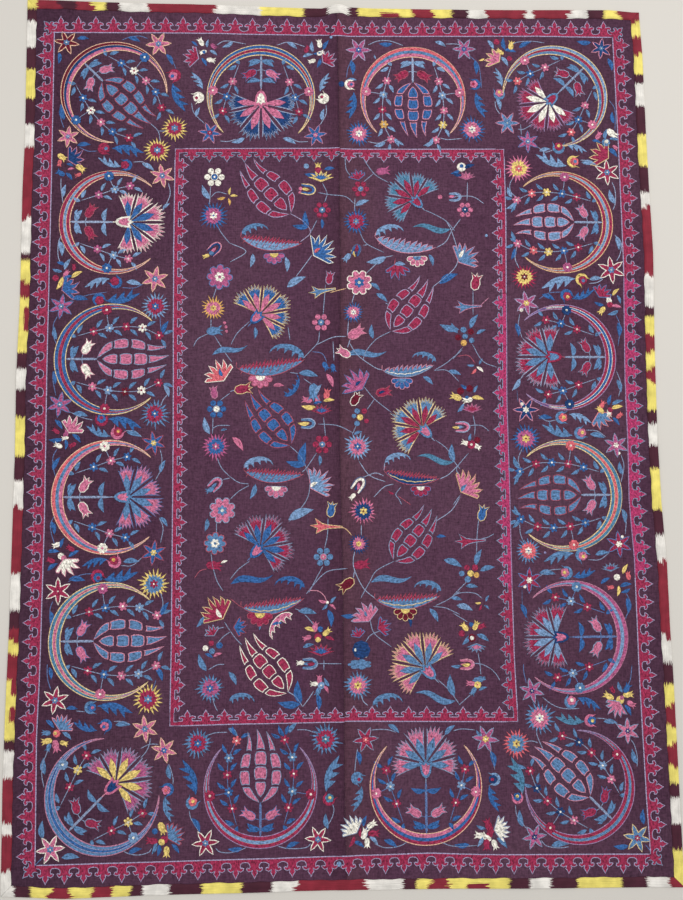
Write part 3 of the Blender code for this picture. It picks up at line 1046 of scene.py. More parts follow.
def toothRun(border, count, colour, line, *pixels):
    pixels = np.array(pixels, float)
    place, long = alongLine(spot(pixels[0::2], pixels[1::2]))
    high, side = borders[border]
    high *= side
    count = int(count)
    half = np.array(borders["tooth"])
    if side < 0:  # the inner border's teeth stand on a wider foot
        half[:, 1] = np.maximum(half[:, 1], 0.28)
    pitch = long / count
    outline = []
    for number in range(count):
        middle = (number + 0.5) * pitch
        jitter = 1 + 0.05 * chance.standard_normal(len(half))
        left = place(middle - half[:, 0] * pitch * jitter, high * half[:, 1])
        right = place(middle + half[:, 0] * pitch * jitter, high * half[:, 1])
        left[-1] = place(number * pitch, high * half[-1, 1])
        right[-1] = place((number + 1) * pitch, high * half[-1, 1])
        crest = np.concatenate([left[::-1], right[1:]])
        foot = place(np.linspace((number + 1) * pitch, number * pitch, 4), 0.0)
        fill(colour, np.concatenate([crest, foot]), chance.uniform(0.9, 2.2))
        outline.append(crest if number == 0 else crest[1:])
    chain(line, np.concatenate(outline), wide=lineWide["tooth"])
    foot = place(np.linspace(0, long, int(long / 0.008)), -0.0008 * side)
    chain("lilac" if colour == "crimson" else "mauve", foot, wide=lineWide["toothFoot"])


for run in borders["runs"].split(","):
    toothRun(*run.split())
for pixel, turn, high, colour in borders["corners"]:
    half = np.array(borders["tooth"])
    crest = np.concatenate([(half[:, 1] + 1j * half[:, 0])[::-1], (half[:, 1] - 1j * half[:, 0])[1:]])
    go = put(spot(*pixel), turn, high)
    fill(colour, go(np.append(crest, 0)))
    chain("steel", go(crest), wide=lineWide["tooth"])
for pixel, across, along in borders["elbows"]:
    wide = borders["elbowWide"]
    near = np.array([[across, 0], [0, 0], [0, along]]) + pixel
    shift = wide * np.sign([across, along])
    far = np.array([[across, shift[1]], shift, [shift[0], along]]) + pixel
    fill("crimson", spot(*np.concatenate([near, far[::-1]]).T))
    chain("lilac", spot(*near.T), wide=lineWide["toothFoot"])
    chain("lilac", spot(*far.T), wide=lineWide["tooth"])
print("toothed borders are stitched")

# the medallions
medallions = {
    # crescents: pixel, radius in mm, mouth in degrees, bands and their lines, the two knots
    "crescents": (
        (114, 92, 131, -45, "peach wine peach navy - pink peach", "blue blue"),
        (113, 222, 130, 0, "peach crimson peach sky peach crimson peach", "blue blue"),
        (111, 359, 135, 0, "yellow blue yellow crimson yellow blue yellow", "crimson crimson"),
        (109, 497, 135, 0, "peach coral peach steel peach pink peach", "cream cream"),
        (107, 641, 135, 0, "yellow teal yellow pink yellow teal yellow", "rose pink"),
        (102, 797, 130, 45, "rose steel lilac blue lilac steel rose", "sky sky"),
        (261, 96, 134, -90, "yellow blue yellow crimson yellow blue yellow", "pink pink"),
        (413, 97, 132, -90, "peach coral - steel - pink peach", "pink pink"),
        (555, 96, 133, -135, "yellow sky yellow crimson yellow steel yellow", "pink pink"),
        (561, 222, 130, 180, "gold crimson gold sky gold crimson gold", "rose rose"),
        (563, 357, 131, 180, "mauve crimson cream blue cream crimson mauve", "navy navy"),
        (567, 495, 134, 180, "yellow teal yellow coral yellow teal yellow", "coral coral"),
        (573, 637, 132, 180, "rose rose steel sky steel rose rose", "steel steel"),
        (580, 787, 129, 135, "mauve crimson yellow steel yellow crimson mauve", "crimson crimson"),
        (260.5, 789.5, 130, 90, "mauve crimson yellow sky yellow crimson mauve", "crimson crimson"),
        (426, 787, 130, 90, "peach crimson - blue - pink peach", "pink pink"),
    ),
    # what grows in each: the silk of stem and leaves, the bloom with its foot and its length in
    # radii, the two buds by the stem, the flowers up its left side and up its right
    "growth": (
        ("steel", "tulip steel crimson", -0.30, 1.25, "pink,steel pink,steel",
         "blue cream pink blue crimson", "blue cream pink blue crimson"),
        ("sky", "carnation pink blue cream pink cream", 0.30, 0.70, "crimson,crimson crimson,crimson",
         "rose sky rose", "rose sky pink"),
        ("steel", "tulip pink steel", -0.245, 1.275, "cream,pink cream,pink",
         "crimson sky crimson cream crimson", "pink sky wine cream crimson"),
        ("steel", "carnation pink steel blue pink steel", 0.33, 0.66, "pink,cream pink,cream",
         "blue pink blue", "blue pink blue"),
        ("steel", "tulip steel pink", -0.23, 1.25, "pink,blue pink,blue",
         "crimson blue pink sky pink", "crimson blue pink sky pink"),
        ("steel", "carnation rose yellow steel navy pink", 0.33, 0.70, "crimson,steel crimson,steel",
         "crimson yellow crimson", "crimson yellow crimson"),
        ("steel", "carnation navy pink sky cream pink", 0.16, 0.74, "pink,blue crimson,blue",
         "pink blue crimson", "pink blue crimson"),
        ("sky", "tulip blue pink", -0.29, 1.10, "crimson,crimson crimson,crimson",
         "pink sky pink yellow pink", "pink sky crimson gold pink"),
        ("steel", "carnation crimson cream mauve crimson steel", 0.18, 0.66, "crimson,sky crimson,sky",
         "pink blue coral", "pink blue coral"),
        ("steel", "tulip sky pink", -0.25, 1.17, "pink,steel pink,steel",
         "crimson blue yellow coral pink", "crimson blue yellow coral pink"),
        ("steel", "carnation crimson steel sky steel crimson", 0.27, 0.68,
         "crimson,steel crimson,steel", "crimson blue crimson", "crimson blue crimson"),
        ("steel", "tulip steel crimson", -0.26, 1.16, "pink,steel pink,steel",
         "blue crimson blue crimson blue", "blue crimson blue crimson blue"),
        ("blue", "carnation crimson sky steel pink navy", 0.31, 0.65, "pink,steel pink,steel",
         "crimson sky crimson", "crimson sky crimson"),
        ("steel", "tulip steel pink", -0.24, 1.33, "crimson,blue crimson,blue",
         "pink navy crimson navy crimson", "pink sky crimson navy crimson"),
        ("blue", "tulip pink steel", -0.22, 1.26, "pink,blue pink,blue",
         "crimson blue crimson steel coral", "crimson steel crimson steel crimson"),
        ("blue", "carnation pink steel steel pink steel", 0.40, 0.68, "pink,steel pink,steel",
         "crimson sky crimson", "crimson sky crimson"),
    ),
    "tulipSide": ((-0.32, 0.50), (-0.04, 0.565), (0.26, 0.59), (0.55, 0.565), (0.85, 0.43)),
    "carnationSide": ((-0.28, 0.53), (0.02, 0.64), (0.30, 0.71)),
    "bandAt": (0.0, 0.34, 0.66, 1.0),
    "points": 84,  # along a crescent
    "tips": 9,  # how many of them the inner lines stop short of the tips
    "knot": (96, 0.90),  # the flower on each arm: degrees from the mouth's middle, and radii
    "knotRing": 0.0086,
    "knotPetal": 0.0043,
    "knotButtons": (6.0, 3.2),  # millimetres
}


def knotPlace(side):
    turn, reach = medallions["knot"]
    return reach * np.exp(1j * math.radians(turn * side))


def crescent(go, bands, knots):
    # lines and the bands between them, from the outer edge in, with a flower knot on each arm
    words = bands.split()
    count, short = medallions["points"], medallions["tips"]
    outer = np.exp(1j * np.radians(np.linspace(44, 316, count)))
    inner = 0.1125 + 0.9225 * np.exp(1j * np.radians(np.linspace(49, 311, count)))
    curves = [outer + (inner - outer) * part for part in medallions["bandAt"]]
    for number, colour in enumerate(words[1::2]):
        ribbon(colour, go(curves[number]), go(curves[number + 1]))
    for curve, colour, isEdge in zip(curves, words[0::2], (True, False, False, True)):
        if colour != "-":
            line = go(curve if isEdge else curve[short:count - short])
            chain(colour, line, wide=lineWide["crescentEdge" if isEdge else "crescentBand"])
    for side, colour in zip((1, -1), knots.split()):
        centre = go(knotPlace(side))
        for petal in range(8):
            tip = centre + medallions["knotRing"] * np.exp(1j * (petal * math.pi / 4 + 0.3))
            fill(colour, tip + medallions["knotPetal"] * disc(7), None, 2)
        large, small = medallions["knotButtons"]
        dot(centre, large, colour, 8, 2)
        dot(centre, small, "cream" if colour != "cream" else "pink", 7, 3)


def medallion(place, growth):
    px, py, reach, turn, bands, knots = place
    green, bloom, foot, long, buds, leftSide, rightSide = growth
    at = spot(px, py)
    go = put(at, turn, reach)
    crescent(go, bands, knots)
    kind, *silks = bloom.split()
    isTulip = kind == "tulip"
    stem(green, *go([-0.80, -0.5, foot if isTulip else foot - 0.30]), wide=lineWide["trunk"])
    for side in (-1, 1):
        leaf(go(-0.70), turn + 62 * side, reach * 0.27, green, 0.42, 0.12 * side)
        leaf(go(-0.72 + 0.14j * side), turn + 62 * side, reach * 0.12, green)
        if not isTulip:
            leaf(go(foot - 0.46), turn + 80 * side, reach * 0.28, green, 0.34, 0.14 * side)
    for side, names in zip((1, -1), buds.split()):
        base = go(-0.50 + 0.09j * side)
        stem(green, go(-0.52 + 0j), base, wide=lineWide["budStem"])
        bud(base, turn + 60 * side, reach * 0.28, names.split(","))
    if isTulip:
        tulip(go(foot + 0j), turn, reach * long, silks, 1.25 / long)
    else:
        carnation(go(foot + 0j), turn, reach * long, silks)
    table = medallions["tulipSide" if isTulip else "carnationSide"]
    for side, colours in ((1, leftSide), (-1, rightSide)):
        flowers = [x + 1j * y * side for x, y in table]
        stem(green, *go([-0.60 + 0.42j * side] + flowers), wide=lineWide["vine"])
        knot = knotPlace(side)
        stem(green, *go([knot, (knot + flowers[1]) / 2 - 0.01, flowers[1]]), wide=lineWide["tie"])
        for number, (flower, colour) in enumerate(zip(flowers, colours.split())):
            middle = "cream" if colour != "cream" else "crimson"
            daisy(go(flower), turn + 20 * number, 11.2, (colour, middle))
            lean = math.degrees(np.angle(flowers[min(number + 1, len(flowers) - 1)]
                                         - flowers[max(number - 1, 0)]))
            for hand in (-1, 1):
                foot = flower + 0.085 * np.exp(1j * math.radians(lean + 38 * hand))
                leaf(go(foot), turn + lean + 42 * hand, reach * 0.19, green, 0.34)
        leaf(go(-0.62 + 0.40j * side), turn + 150 * side, reach * 0.17, green, 0.45)
        leaf(go(-0.60 + 0.46j * side), turn + 62 * side, reach * 0.19, green, 0.40)


for place, growth in zip(medallions["crescents"], medallions["growth"]):
    medallion(place, growth)
print("medallions are stitched")

# What is strewn between the medallions and over the field. Each entry: the kind, its pixel in the
# photograph, its turn in degrees, its length or radius in mm and its silks. The pixel is the middle of
# a shape, or the foot of a comma, a tulip or a boat. A ball and a rosette have no turn, and a stem has
# the pixels it runs through. An entry that leaves out its kind or its silks has those of the entry
# before it.
strewn = {
    "topLeftCorner": """
    star 66.5 42.5 111 31 wine peach steel, 158.5 44 65 31 pink peach steel, 68 136.5 84 27,
    162.3 175.7 101 30, burst 174.7 128.3 0 33 yellow crimson steel, 157.3 150.3 0 33,
    leaf 83 38.5 0 30 blue, 58.8 58 -90 31, 134 39.5 -20 34, stem 122 40 130 37 140 36 148 38.5,
    leaf 63 112 100 42, stem 60.5 104 60 113 61.5 121 64 128, 166 55 172 60 176 69,
    leaf 169.5 59.5 -62 34, rose 174 75.5 -150 17 pink crimson blue, sawL 179 97.5 -66 82 blue,
    stem 150 123 158 131 160.5 142 steel, 158 131 167 131, leaf 84 145 3 34 blue,
    stem 79 147 88 151 97 151, rose 104.4 148.5 0 16 crimson crimson steel, sawR 128 150.5 -8 80 blue,
    109.5 162 159 62 sky, rose 126 165 180 15 crimson blue crimson, stem 133 162 143 162 150 168 sky,
    leaf 148 167 -32 36, lily 76 156 30 44 navy rose, bud 62 157 -35 26 yellow, 59.5 163 -100 19 coral,
    leaf 70 165 -20 20 blue, 71 169 10 18 pink, bud 80.5 168 -35 28 yellow, 60.5 173 150 24 blue,
    leaf 69 176.5 -50 26, bud 78 174.8 200 18 coral, stem 61 178 61 188 63 203 sky,
    leaf 64.5 190.5 80 33, stem 168.5 183 170 195 162.5 211, leaf 166.5 206 40 24""",
    "betweenTheTwoLeftMedallionsOfTheTop": """
    leaf 194.5 44 -40 20 blue, bud 201 42 120 24 cream, leaf 207.8 43.5 80 22 sky,
    bud 213.5 46.5 -45 20 rose, leaf 213.5 53 -35 24 sky, bud 203 52 200 20 cream, ball 204 52 5 blue,
    leaf 204 62 -60 26, bud 211 60 -10 24 cream, lily 190.5 56.5 165 42 crimson lilac,
    stem 191.5 103 194 113 205 124 steel, leaf 198 112 70 28 sky, sawL 197 80.5 123 54,
    rose 198 97.5 200 15 cream cream crimson, star 209.8 132.8 112 28 blue rose crimson,
    stem 220 141 228 141.5 236 139 sky, leaf 238 140 200 36, stem 217 45 226 41 246 44,
    leaf 227.5 44.5 -150 32, stem 277 45 289 42 305 46.5, leaf 292 45.5 -35 32,
    bud 307 49 60 22 crimson, leaf 312.4 46.5 95 30 sky, bud 319.5 43.5 100 24 cream,
    leaf 326 45 62 30 blue, 317 53 190 22, bud 320.5 53 20 22 cream, leaf 308 55.5 15 28 sky,
    bud 312 61 200 20 cream, leaf 318.5 63 -110 28 blue, lily 329 58 35 38 crimson lilac,
    sawR 324.5 82 65 54 sky, rose 323 98 140 15 cream cream crimson, stem 326 105 326 114 320 125 sky,
    leaf 323 114.5 80 32, star 315.5 135 70 28 blue rose pink, stem 308 141.5 298 141.5 288 137 sky,
    leaf 289.5 141 -25 36""",
    "rightOfTheSeamAtTheTop": """
    star 358.6 50 60 31 rose lilac blue, stem 368 45 378 41 390 41 403 45.5 sky,
    leaf 385.5 43.5 178 36 blue, 375 56.5 110 13 sky, stem 353 58 348 68 346.5 78 blue,
    leaf 351.7 67.5 -82 40, ball 341.5 84.3 8 navy, leaf 352 80 0 26 steel,
    rose 350 84.5 0 14 pink cream blue, sawR 351.5 105.6 -100 72 blue,
    burst 359 133.5 0 33 blue pink cream, stem 368 141.5 379 143 390 138 sky, leaf 379.6 144 200 32,
    396 142.3 -58 28, 430 142.5 -122 30, stem 440 138 448 139.5 462 138.5, 446 44 456 44 462 46,
    leaf 440.5 44 -25 32, star 464 49 60 29 rose steel blue, stem 470 56 478 64 480.5 76 481.5 88 blue,
    leaf 475.5 67.5 -85 38, rose 474.7 84.3 180 15 pink blue crimson, sawL 480.5 105 -72 72 blue,
    burst 472 129.5 0 35 blue pink cream, leaf 490.5 45 -60 30 sky, ball 496.5 42 8 crimson,
    leaf 504 43.5 95 34 blue, bud 511 45.5 80 26 yellow, 500 52 150 22, leaf 510.5 51 -10 32 blue,
    ball 509.5 58.5 7 crimson, leaf 504.5 61.5 -55 32 sky, lily 492.5 57 145 42 pink yellow,
    leaf 481.5 59.5 200 16 yellow, stem 512 44 519 42 531 41.5 544 43 steel, leaf 525 45 25 36 blue,
    583.6 41.8 175 38, star 601.2 48.4 82 27 navy pink steel, leaf 610 64.5 -75 36 blue,
    stem 609 100 615 110 615 131, leaf 613 117.4 95 32, sawL 498.5 77 108 52 sky,
    rose 499.2 94 90 15 pink steel yellow, stem 495 101 496 108 500 114 sky, leaf 498.5 104 -75 34,
    star 507.3 123 60 30 steel rose steel, 527.8 141.6 90 28 rose blue steel,
    stem 534 123 524 129 518 129 steel, 520.5 124 521.5 135, bud 598.5 135.5 60 24 pink,
    leaf 606 134 75 30 steel, bud 612 133.5 -40 34 cream, leaf 596.5 141.5 -15 24 blue,
    ball 606 142.5 11 steel, 606.5 141.5 6 cream, leaf 614 139.5 -10 24 steel,
    bud 615.5 147.5 -40 18 pink, leaf 612.5 152.5 -45 36 blue, lily 599 153 150 54 crimson yellow,
    leaf 545 150 10 30 sky, stem 538 147 545 152 553 150, rose 558.6 147.5 90 16 crimson steel yellow,
    sawR 577 148.5 -18 54 sky, 551 160 159 84, rose 573.5 161.5 0 16 coral yellow steel,
    stem 580 160 590 161 598 166 sky, leaf 589 163.6 -10 40, star 607 172.4 92 32 crimson cream steel,
    burst 518.7 168.7 0 36 pink yellow coral, stem 514 176.5 510 184 511 192 517.5 198 steel,
    leaf 509.8 192 110 30 sky, 511.7 205.4 212 34, stem 612 182 615 190 615.5 202 613 210,
    leaf 612.2 196.6 110 40""",
    "leftSideSecondToFourthMedallion": """
    stem 62 235 58.5 242 58 255 60 262 sky, leaf 60.5 248.5 -78 40, 61.5 264 -20 26 blue,
    67.5 264 62 32 sky, 57 270 165 26 steel, bud 74 267 90 18 crimson, 66 273.5 60 22 pink,
    leaf 67.5 277.5 20 26 blue, 77 274.5 30 32 yellow, ball 55.5 278 8 crimson,
    leaf 59.5 283 -115 36 yellow, lily 71 287 20 46 blue rose, star 61.3 306.5 83 30 rose blue steel,
    sawL 97 283 200 64 sky, rose 115.5 282 135 16 crimson blue crimson,
    stem 122 287.5 134 288 143 284 blue, leaf 134 283.5 -12 40 sky, star 155 279 80 32 pink peach steel,
    stem 70 301 88 295 107 292 blue, leaf 80 299 -5 40, rose 99 299.5 -60 16 crimson blue crimson,
    sawL 123 297 13 86 blue, burst 155.5 306.5 0 34 sky crimson blue, stem 160 316 161 330 blue,
    leaf 165.5 327.5 65 36, stem 57.5 316 53.5 325 54 337 57 345, leaf 55.5 333 100 34 steel,
    stem 56.5 368 53 378 56 396 blue, leaf 54 378 -80 34, star 59.8 404.5 81 30 rose blue steel,
    stem 70 412 82 417.5 93 420 steel, leaf 80.5 415 -10 38,
    rose 101.5 419.5 90 16 blue crimson crimson, sawR 125 423.5 -16 84 blue,
    burst 154.8 413.6 0 35 steel crimson blue, stem 163 385 168.5 392 163 400 161 406 sky,
    leaf 166.5 391 -68 32, sawR 98 431 156 64 steel, rose 117.4 432.7 60 16 crimson pink gold,
    stem 124 431 134 431 142 437 steel, leaf 134 434.5 -18 38,
    star 153.7 443 100 28 blue crimson yellow, leaf 58.5 424.5 -52 30 blue, bud 56 431 140 20 crimson,
    lily 73.5 424.5 62 44 pink cream, bud 66 434 70 22 rose, 65 438 190 18 cream,
    leaf 55.5 439.5 182 34 blue, 76.5 438.5 -45 30, bud 58 445.5 160 22 cream, 72.5 445 210 20 crimson,
    leaf 65.5 444.5 -90 26 blue""",
    "rightSideSecondToFourthMedallion": """
    leaf 513 254 -110 32 blue, stem 517 246 515 258 519 268 sky, leaf 513.5 241 -40 24 steel,
    burst 524.4 277 0 33 crimson yellow wine, sawL 558 283.5 197 90 sky,
    rose 582 279.5 -45 16 crimson yellow steel, stem 589 283.5 597 282.5 603 279 sky, leaf 596 279 5 34,
    star 611.2 270 96 34 crimson cream steel, stem 614.5 235 621 243 620 254 616.5 261 sky,
    leaf 617.3 243 -80 38, stem 539 299 549 293 562 292 blue, leaf 548.5 297.5 -25 36,
    rose 566.7 295.5 -60 16 crimson blue yellow, sawL 583.5 294 23 62 blue,
    star 526.3 303.2 100 30 rose lilac yellow, ball 521.3 310 5 cream,
    lily 602.6 290.5 60 38 crimson blue, leaf 616 292 45 26 yellow, bud 609 300 100 26 cream,
    leaf 618.8 299.5 -70 24 steel, 599 303.5 160 26 blue, ball 610 304.5 8 crimson,
    leaf 616.5 306.5 -10 26 pink, bud 602 310.5 230 24 yellow, leaf 613 312.5 200 30 steel,
    stem 616 315 620 326 618 346 blue, leaf 618.5 330 -88 38, stem 519.7 314 518.3 326 522 338 steel,
    leaf 517 330 -80 36 blue, stem 523 376 516 384 512 391 sky, leaf 516 384.5 235 36,
    stem 517 390 518 402 navy, star 525.9 409.7 60 31 navy pink cream, ball 522 404 5 cream,
    stem 616.5 371 621 384 618.5 397 steel, leaf 619 386 -75 34, 610 400 75 28 blue,
    617.5 402.5 20 30 steel, bud 602 405 60 24 coral, 600.5 410 130 24 yellow, leaf 617.3 407.5 10 30,
    bud 609 413 -90 22 cream, ball 610 410 7 crimson, bud 619.5 415.5 40 20 coral,
    lily 603 420.5 -60 44 steel coral, leaf 616 421.5 -50 26 blue, 545.5 418 0 36,
    stem 538 415 547 421 556 420 steel, rose 562 417.5 0 16 coral steel yellow,
    sawR 580.6 418.5 -22 60 sky, 557 430 160 80 steel, rose 580.8 433 20 16 pink steel yellow,
    stem 586 430 597 431 606 437 steel, leaf 597.5 436 -15 38, burst 525.8 438.6 0 36 blue rose yellow,
    star 616 445.2 95 29 rose steel cream""",
    "fieldTopOfTheLeftPanel": """
    tulip 290 213.4 134 170 crimson lilac, stem 290 213.4 303.5 221.5 310.5 232.5 300 242 lilac,
    317 220 310.5 232.5 steel, leaf 306.5 219.5 98 44 blue, 300.5 225.8 176 42, 321.7 224 -90 26,
    ball 306.3 166 7 sky, bud 318 167.5 90 26 yellow, ball 318 170 9 crimson, leaf 310 174 178 30 blue,
    329.5 169 5 28, lotus 321 178 90 62 blue yellow, stem 322.5 183 327 193 324.7 202 steel,
    cup 308 189.5 172 44 blue yellow, ball 300.5 188.5 5 pink, 300 192.5 4,
    stem 318 192.5 332 195 346 197 354 203.5 steel, rosette 322.2 210 21 crimson navy steel,
    stem 345 156 346 169 350 175.5 steel, lily 357 174.5 105 30 crimson blue,
    stem 364 160 375 174.5 388.5 182.5 steel, 373.5 173.5 363.5 182, bud 383 171 8 36 rose,
    rosette 360.6 189 21 crimson crimson steel, stem 355 198 354.5 211 sky, leaf 362.5 203 22 38,
    carnation 414 199.5 134 79 teal crimson steel crimson steel 224,
    burst 356 221.5 0 33 blue crimson steel, stem 424.5 210 434 214 446 221 455 231 steel""",
    "firstRowOfFeatheredLeaves": """
    boat 240.5 236.5 -6 152 sky crimson crimson -, comma 241.5 234.5 10 68 steel,
    half 274 253.5 -88 27 rose blue yellow, leaf 251.5 260.5 -100 36 sky, 286.3 264.5 -86 38,
    stem 230 243 246 251.5 230 262, lily 323.5 248.5 36 60 blue cream 7, heart 317.5 250.5 40 20 coral,
    stem 312 255 305.5 264 296 276.5 sky, leaf 296.5 282 30 54,
    boat 374.7 236.5 -10 154 sky pink pink -, comma 375.5 235.5 8 72 sky, wave 431.5 228 178 98 teal,
    half 417 256.5 -88 26 pink cream steel, leaf 431 260 -72 32 steel,
    stem 393 255.5 382 259 366.5 273 sky, leaf 376.3 259.5 195 52,
    stem 360 233 366.5 243.5 384 252.5 steel,
    445.6 220 451.5 231 457.5 249.5 458.5 258 453 270 431.5 288 sky, 451.5 231 445.5 242 436.5 247.5,
    cup 356.5 250 250 34 blue navy, leaf 356 248.5 -100 24 crimson, 353 253.5 -60 22 yellow,
    stem 363 245.5 368 244.5 sky, bud 347 257.5 230 26, lily 397.5 272 -85 44 crimson blue 5,
    heart 400 264.5 0 28 sky, stem 395.5 258 394 268 crimson""",
    "secondRowOfBlooms": """
    carnation 259.5 314.5 47 83 blue pink yellow pink blue 222, leaf 254.8 333 -92 30 steel,
    stem 249.5 321.5 237.5 333 231 344.5, 288 327 290 340, bud 329.5 278 80 32 crimson lilac,
    stem 325.5 284.5 323 315.5 steel, horn 322 291 190 66 steel yellow,
    stem 346 288.5 338 290.5 330 292.5 gold, bloom 359.2 282.5 0 31 pink cream blue,
    leaf 375.3 286.7 -38 30 steel, 381.8 297.8 -38 36, stem 385.5 303 390 305.5,
    354.7 293 351.8 303 sky, burst 353.4 312.3 0 27 blue pink cream, stem 348.5 321 347.3 336 sky,
    bud 356 333 32 44 pink pink, rosette 321 322.3 22 pink navy steel,
    stem 319.5 331.5 318 342 310.7 350.5 303 358.5 steel, 316 345 332.5 337.5 346 336.5 sky,
    leaf 372.3 331.5 95 36 steel, stem 390.5 331.5 376.5 339 366.5 350.5 363 359.5,
    tulip 391 330.5 51 158 crimson lilac, leaf 448.8 278.7 28 54 blue, 449.3 327 165 50 steel,
    stem 350.3 339 347.5 347.5 sky, 349.5 343 357.5 355 374 367 382.5 370,
    bud 343.7 352.5 150 36 pink cream""",
    "secondRowOfFeatheredLeaves": """
    wave 230 350 16 90 steel, boat 236.5 367.5 7 166 steel crimson crimson -,
    comma 304 358 172 86 steel x, half 260.5 376 -92 30 pink crimson cream,
    stem 290 372.5 298 373.5 steel, 303.5 378.5 312 384.5, leaf 308.5 374.7 -10 48,
    stem 312 351.5 322 353.5 327 362 blue, 333 341.5 334 361 sky, bud 325.5 366 -60 24 blue,
    333 368 -80 22, leaf 329.8 380.6 -65 38 pink, comma 284 396 62 62 blue x,
    leaf 278.5 385.7 0 28 pink, bud 243 389 10 42 crimson yellow, stem 230 391.5 235 390 steel,
    wave 366 353.5 7 104, comma 436 361.5 172 60 steel x, boat 382 369.5 5 128 steel pink steel cream,
    half 402 378.5 -90 27 blue pink steel, leaf 428 380.5 -40 32 steel, 454.5 373 -15 34,
    stem 434 370.5 447 370.5 459 381.5, 434 370.5 447 362.5 462 350,
    lily 354.5 380.5 130 58 rose blue 6, heart 358.5 383.5 40 22 navy,
    stem 363.5 386 374.5 399 391.5 412.5 steel, 374.5 399 367 409.5,
    bud 383.5 392 12 38 crimson crimson, heart 382 392.5 20 18 navy, bud 355.5 399 60 36 wine cream""",
    "thirdRow": """
    bud 313.5 392 -90 44 steel, leaf 318.5 389.5 60 30 sky, bud 307 400 170 26 pink, 317.5 399.5 100 24,
    leaf 318 403 10 24 blue, bud 326.8 394 80 28 coral, leaf 329 400.5 5 28 yellow, 308.5 406.5 175 36,
    lotus 321.5 411 90 52 blue crimson, cup 308 423.5 180 40 steel sky, leaf 303.5 423 180 30 yellow,
    stem 318 424 337 425.5 353.5 433 steel, 323.5 417 325.5 436,
    rosette 322.2 444.5 23 crimson crimson steel, tulip 290.5 444.5 131 158 blue crimson,
    ball 357.2 411 7 steel, 364.2 411 7 crimson, 354 416 6 steel, 360 417.3 8 yellow,
    366.5 421 6 crimson, 357 423.5 7 steel, stem 356 426 352.5 434, leaf 358 433 20 22,
    burst 357.6 446.5 0 35 sky pink blue,
    carnation 422.5 428.5 134 84 steel crimson yellow pink steel 216""",
    "rightEdgeOfTheFieldUpperHalf": """
    leaf 455 172 200 26 blue, ball 461.5 167 12 cream, 461.5 166 6 blue, leaf 469.5 166.5 20 30 navy,
    457 174 160 28, lotus 466 177 90 46 pink rose, stem 467.5 182.5 467 201 sky,
    452 196.5 472 196.5 484 203.5, cup 455 197 180 36 sky steel, heart 452 197 0 18 pink,
    ball 440 197 6, rosette 465 209.8 20 pink navy navy, stem 460.5 219 451.5 231 sky,
    ball 486.3 235.5 4, lily 466.5 254 46 58 steel pink 7, heart 462 254 60 24 cream,
    bud 475.7 282 78 42 crimson cream, stem 473 290 473 315 steel, horn 467.5 306.8 183 70 steel rose,
    stem 481 305 489 297.5 rose, leaf 474 321.5 60 42 steel, ball 463.3 330 8, 458 337.5 8 wine,
    470.7 331.8 8, 465 336.5 7 steel, 471.5 340.5 7, 463.7 343 8 gold, leaf 481 332 25 26 steel,
    454.5 328 120 30, stem 472 344 482.5 361 497 367.5, 462.5 347.5 453 359,
    457 356.5 468 355.5 475.5 363.5 crimson, leaf 470.5 365 175 20 steel, 480 369.5 -40 22 cream,
    473.5 371.5 225 20 coral, 481 361.5 60 18 steel, 464.5 386.5 150 24 blue, ball 460.5 391 9 wine,
    469.5 388.5 9, leaf 476 389 60 22 steel, bud 456 397 160 30 yellow, leaf 478 398.5 -10 32,
    bud 467.5 400 190 26 cream, ball 467 397.5 5 blue, leaf 460.5 408 230 28 steel,
    lotus 472 409.5 90 50 crimson rose, stem 473 415 475 425.5 474.5 435.5 steel,
    469 425.5 481 425.5 489 431, cup 462.5 427 180 42 pink sky, leaf 456 427 180 20 yellow,
    bud 465.5 443 160 22 cream, 477 446.5 -30 22, leaf 470.5 437.5 80 22 steel, ball 477.3 440 8 wine,
    471.3 444.5 11 crimson, 471.3 444.5 4 cream""",
    "leftEdgeOfTheFieldUpperHalf": """
    rosette 214.5 177 25 cream cream blue, leaf 206 192 118 42 sky, stem 210.5 186 209.5 205,
    211 197 217 192 227 194 steel, leaf 230 191 80 20 yellow, 234 196 0 20, 221 198 190 22 gold,
    229 202 -80 20, burst 213.6 215.8 0 35 blue rose cream, stem 216.5 224 221.5 233 230 243.5 steel,
    cup 215 248.5 225 42 navy pink, ball 211.5 253 6 steel, bud 206 256 200 18 yellow,
    bloom 219.7 277 20 31 rose blue cream, stem 216.4 288 213 298 steel,
    burst 213.4 308.3 0 30 gold pink yellow, stem 211 319 211 328 steel, bud 214.5 331 5 40,
    ball 224.5 323 4 pink, 226 327 4, 226.5 331.5 4, stem 208.5 333.5 198 339 193.5 346.5 steel,
    214.5 336 226 354 232 362, lily 217.5 371 122 56 coral cream 6, heart 221 372.5 110 22 blue,
    bud 214 392.5 100 30 rose rose, rosette 216.5 409 23 blue steel cream, leaf 207 425.5 108 44 sky,
    stem 213 417 212.5 434 steel, 212.5 428.5 218.5 425.5 230 425.5, leaf 224 430 10 16,
    stem 230 393 220 400.5, burst 215.8 446.5 0 34 rose blue rose""",
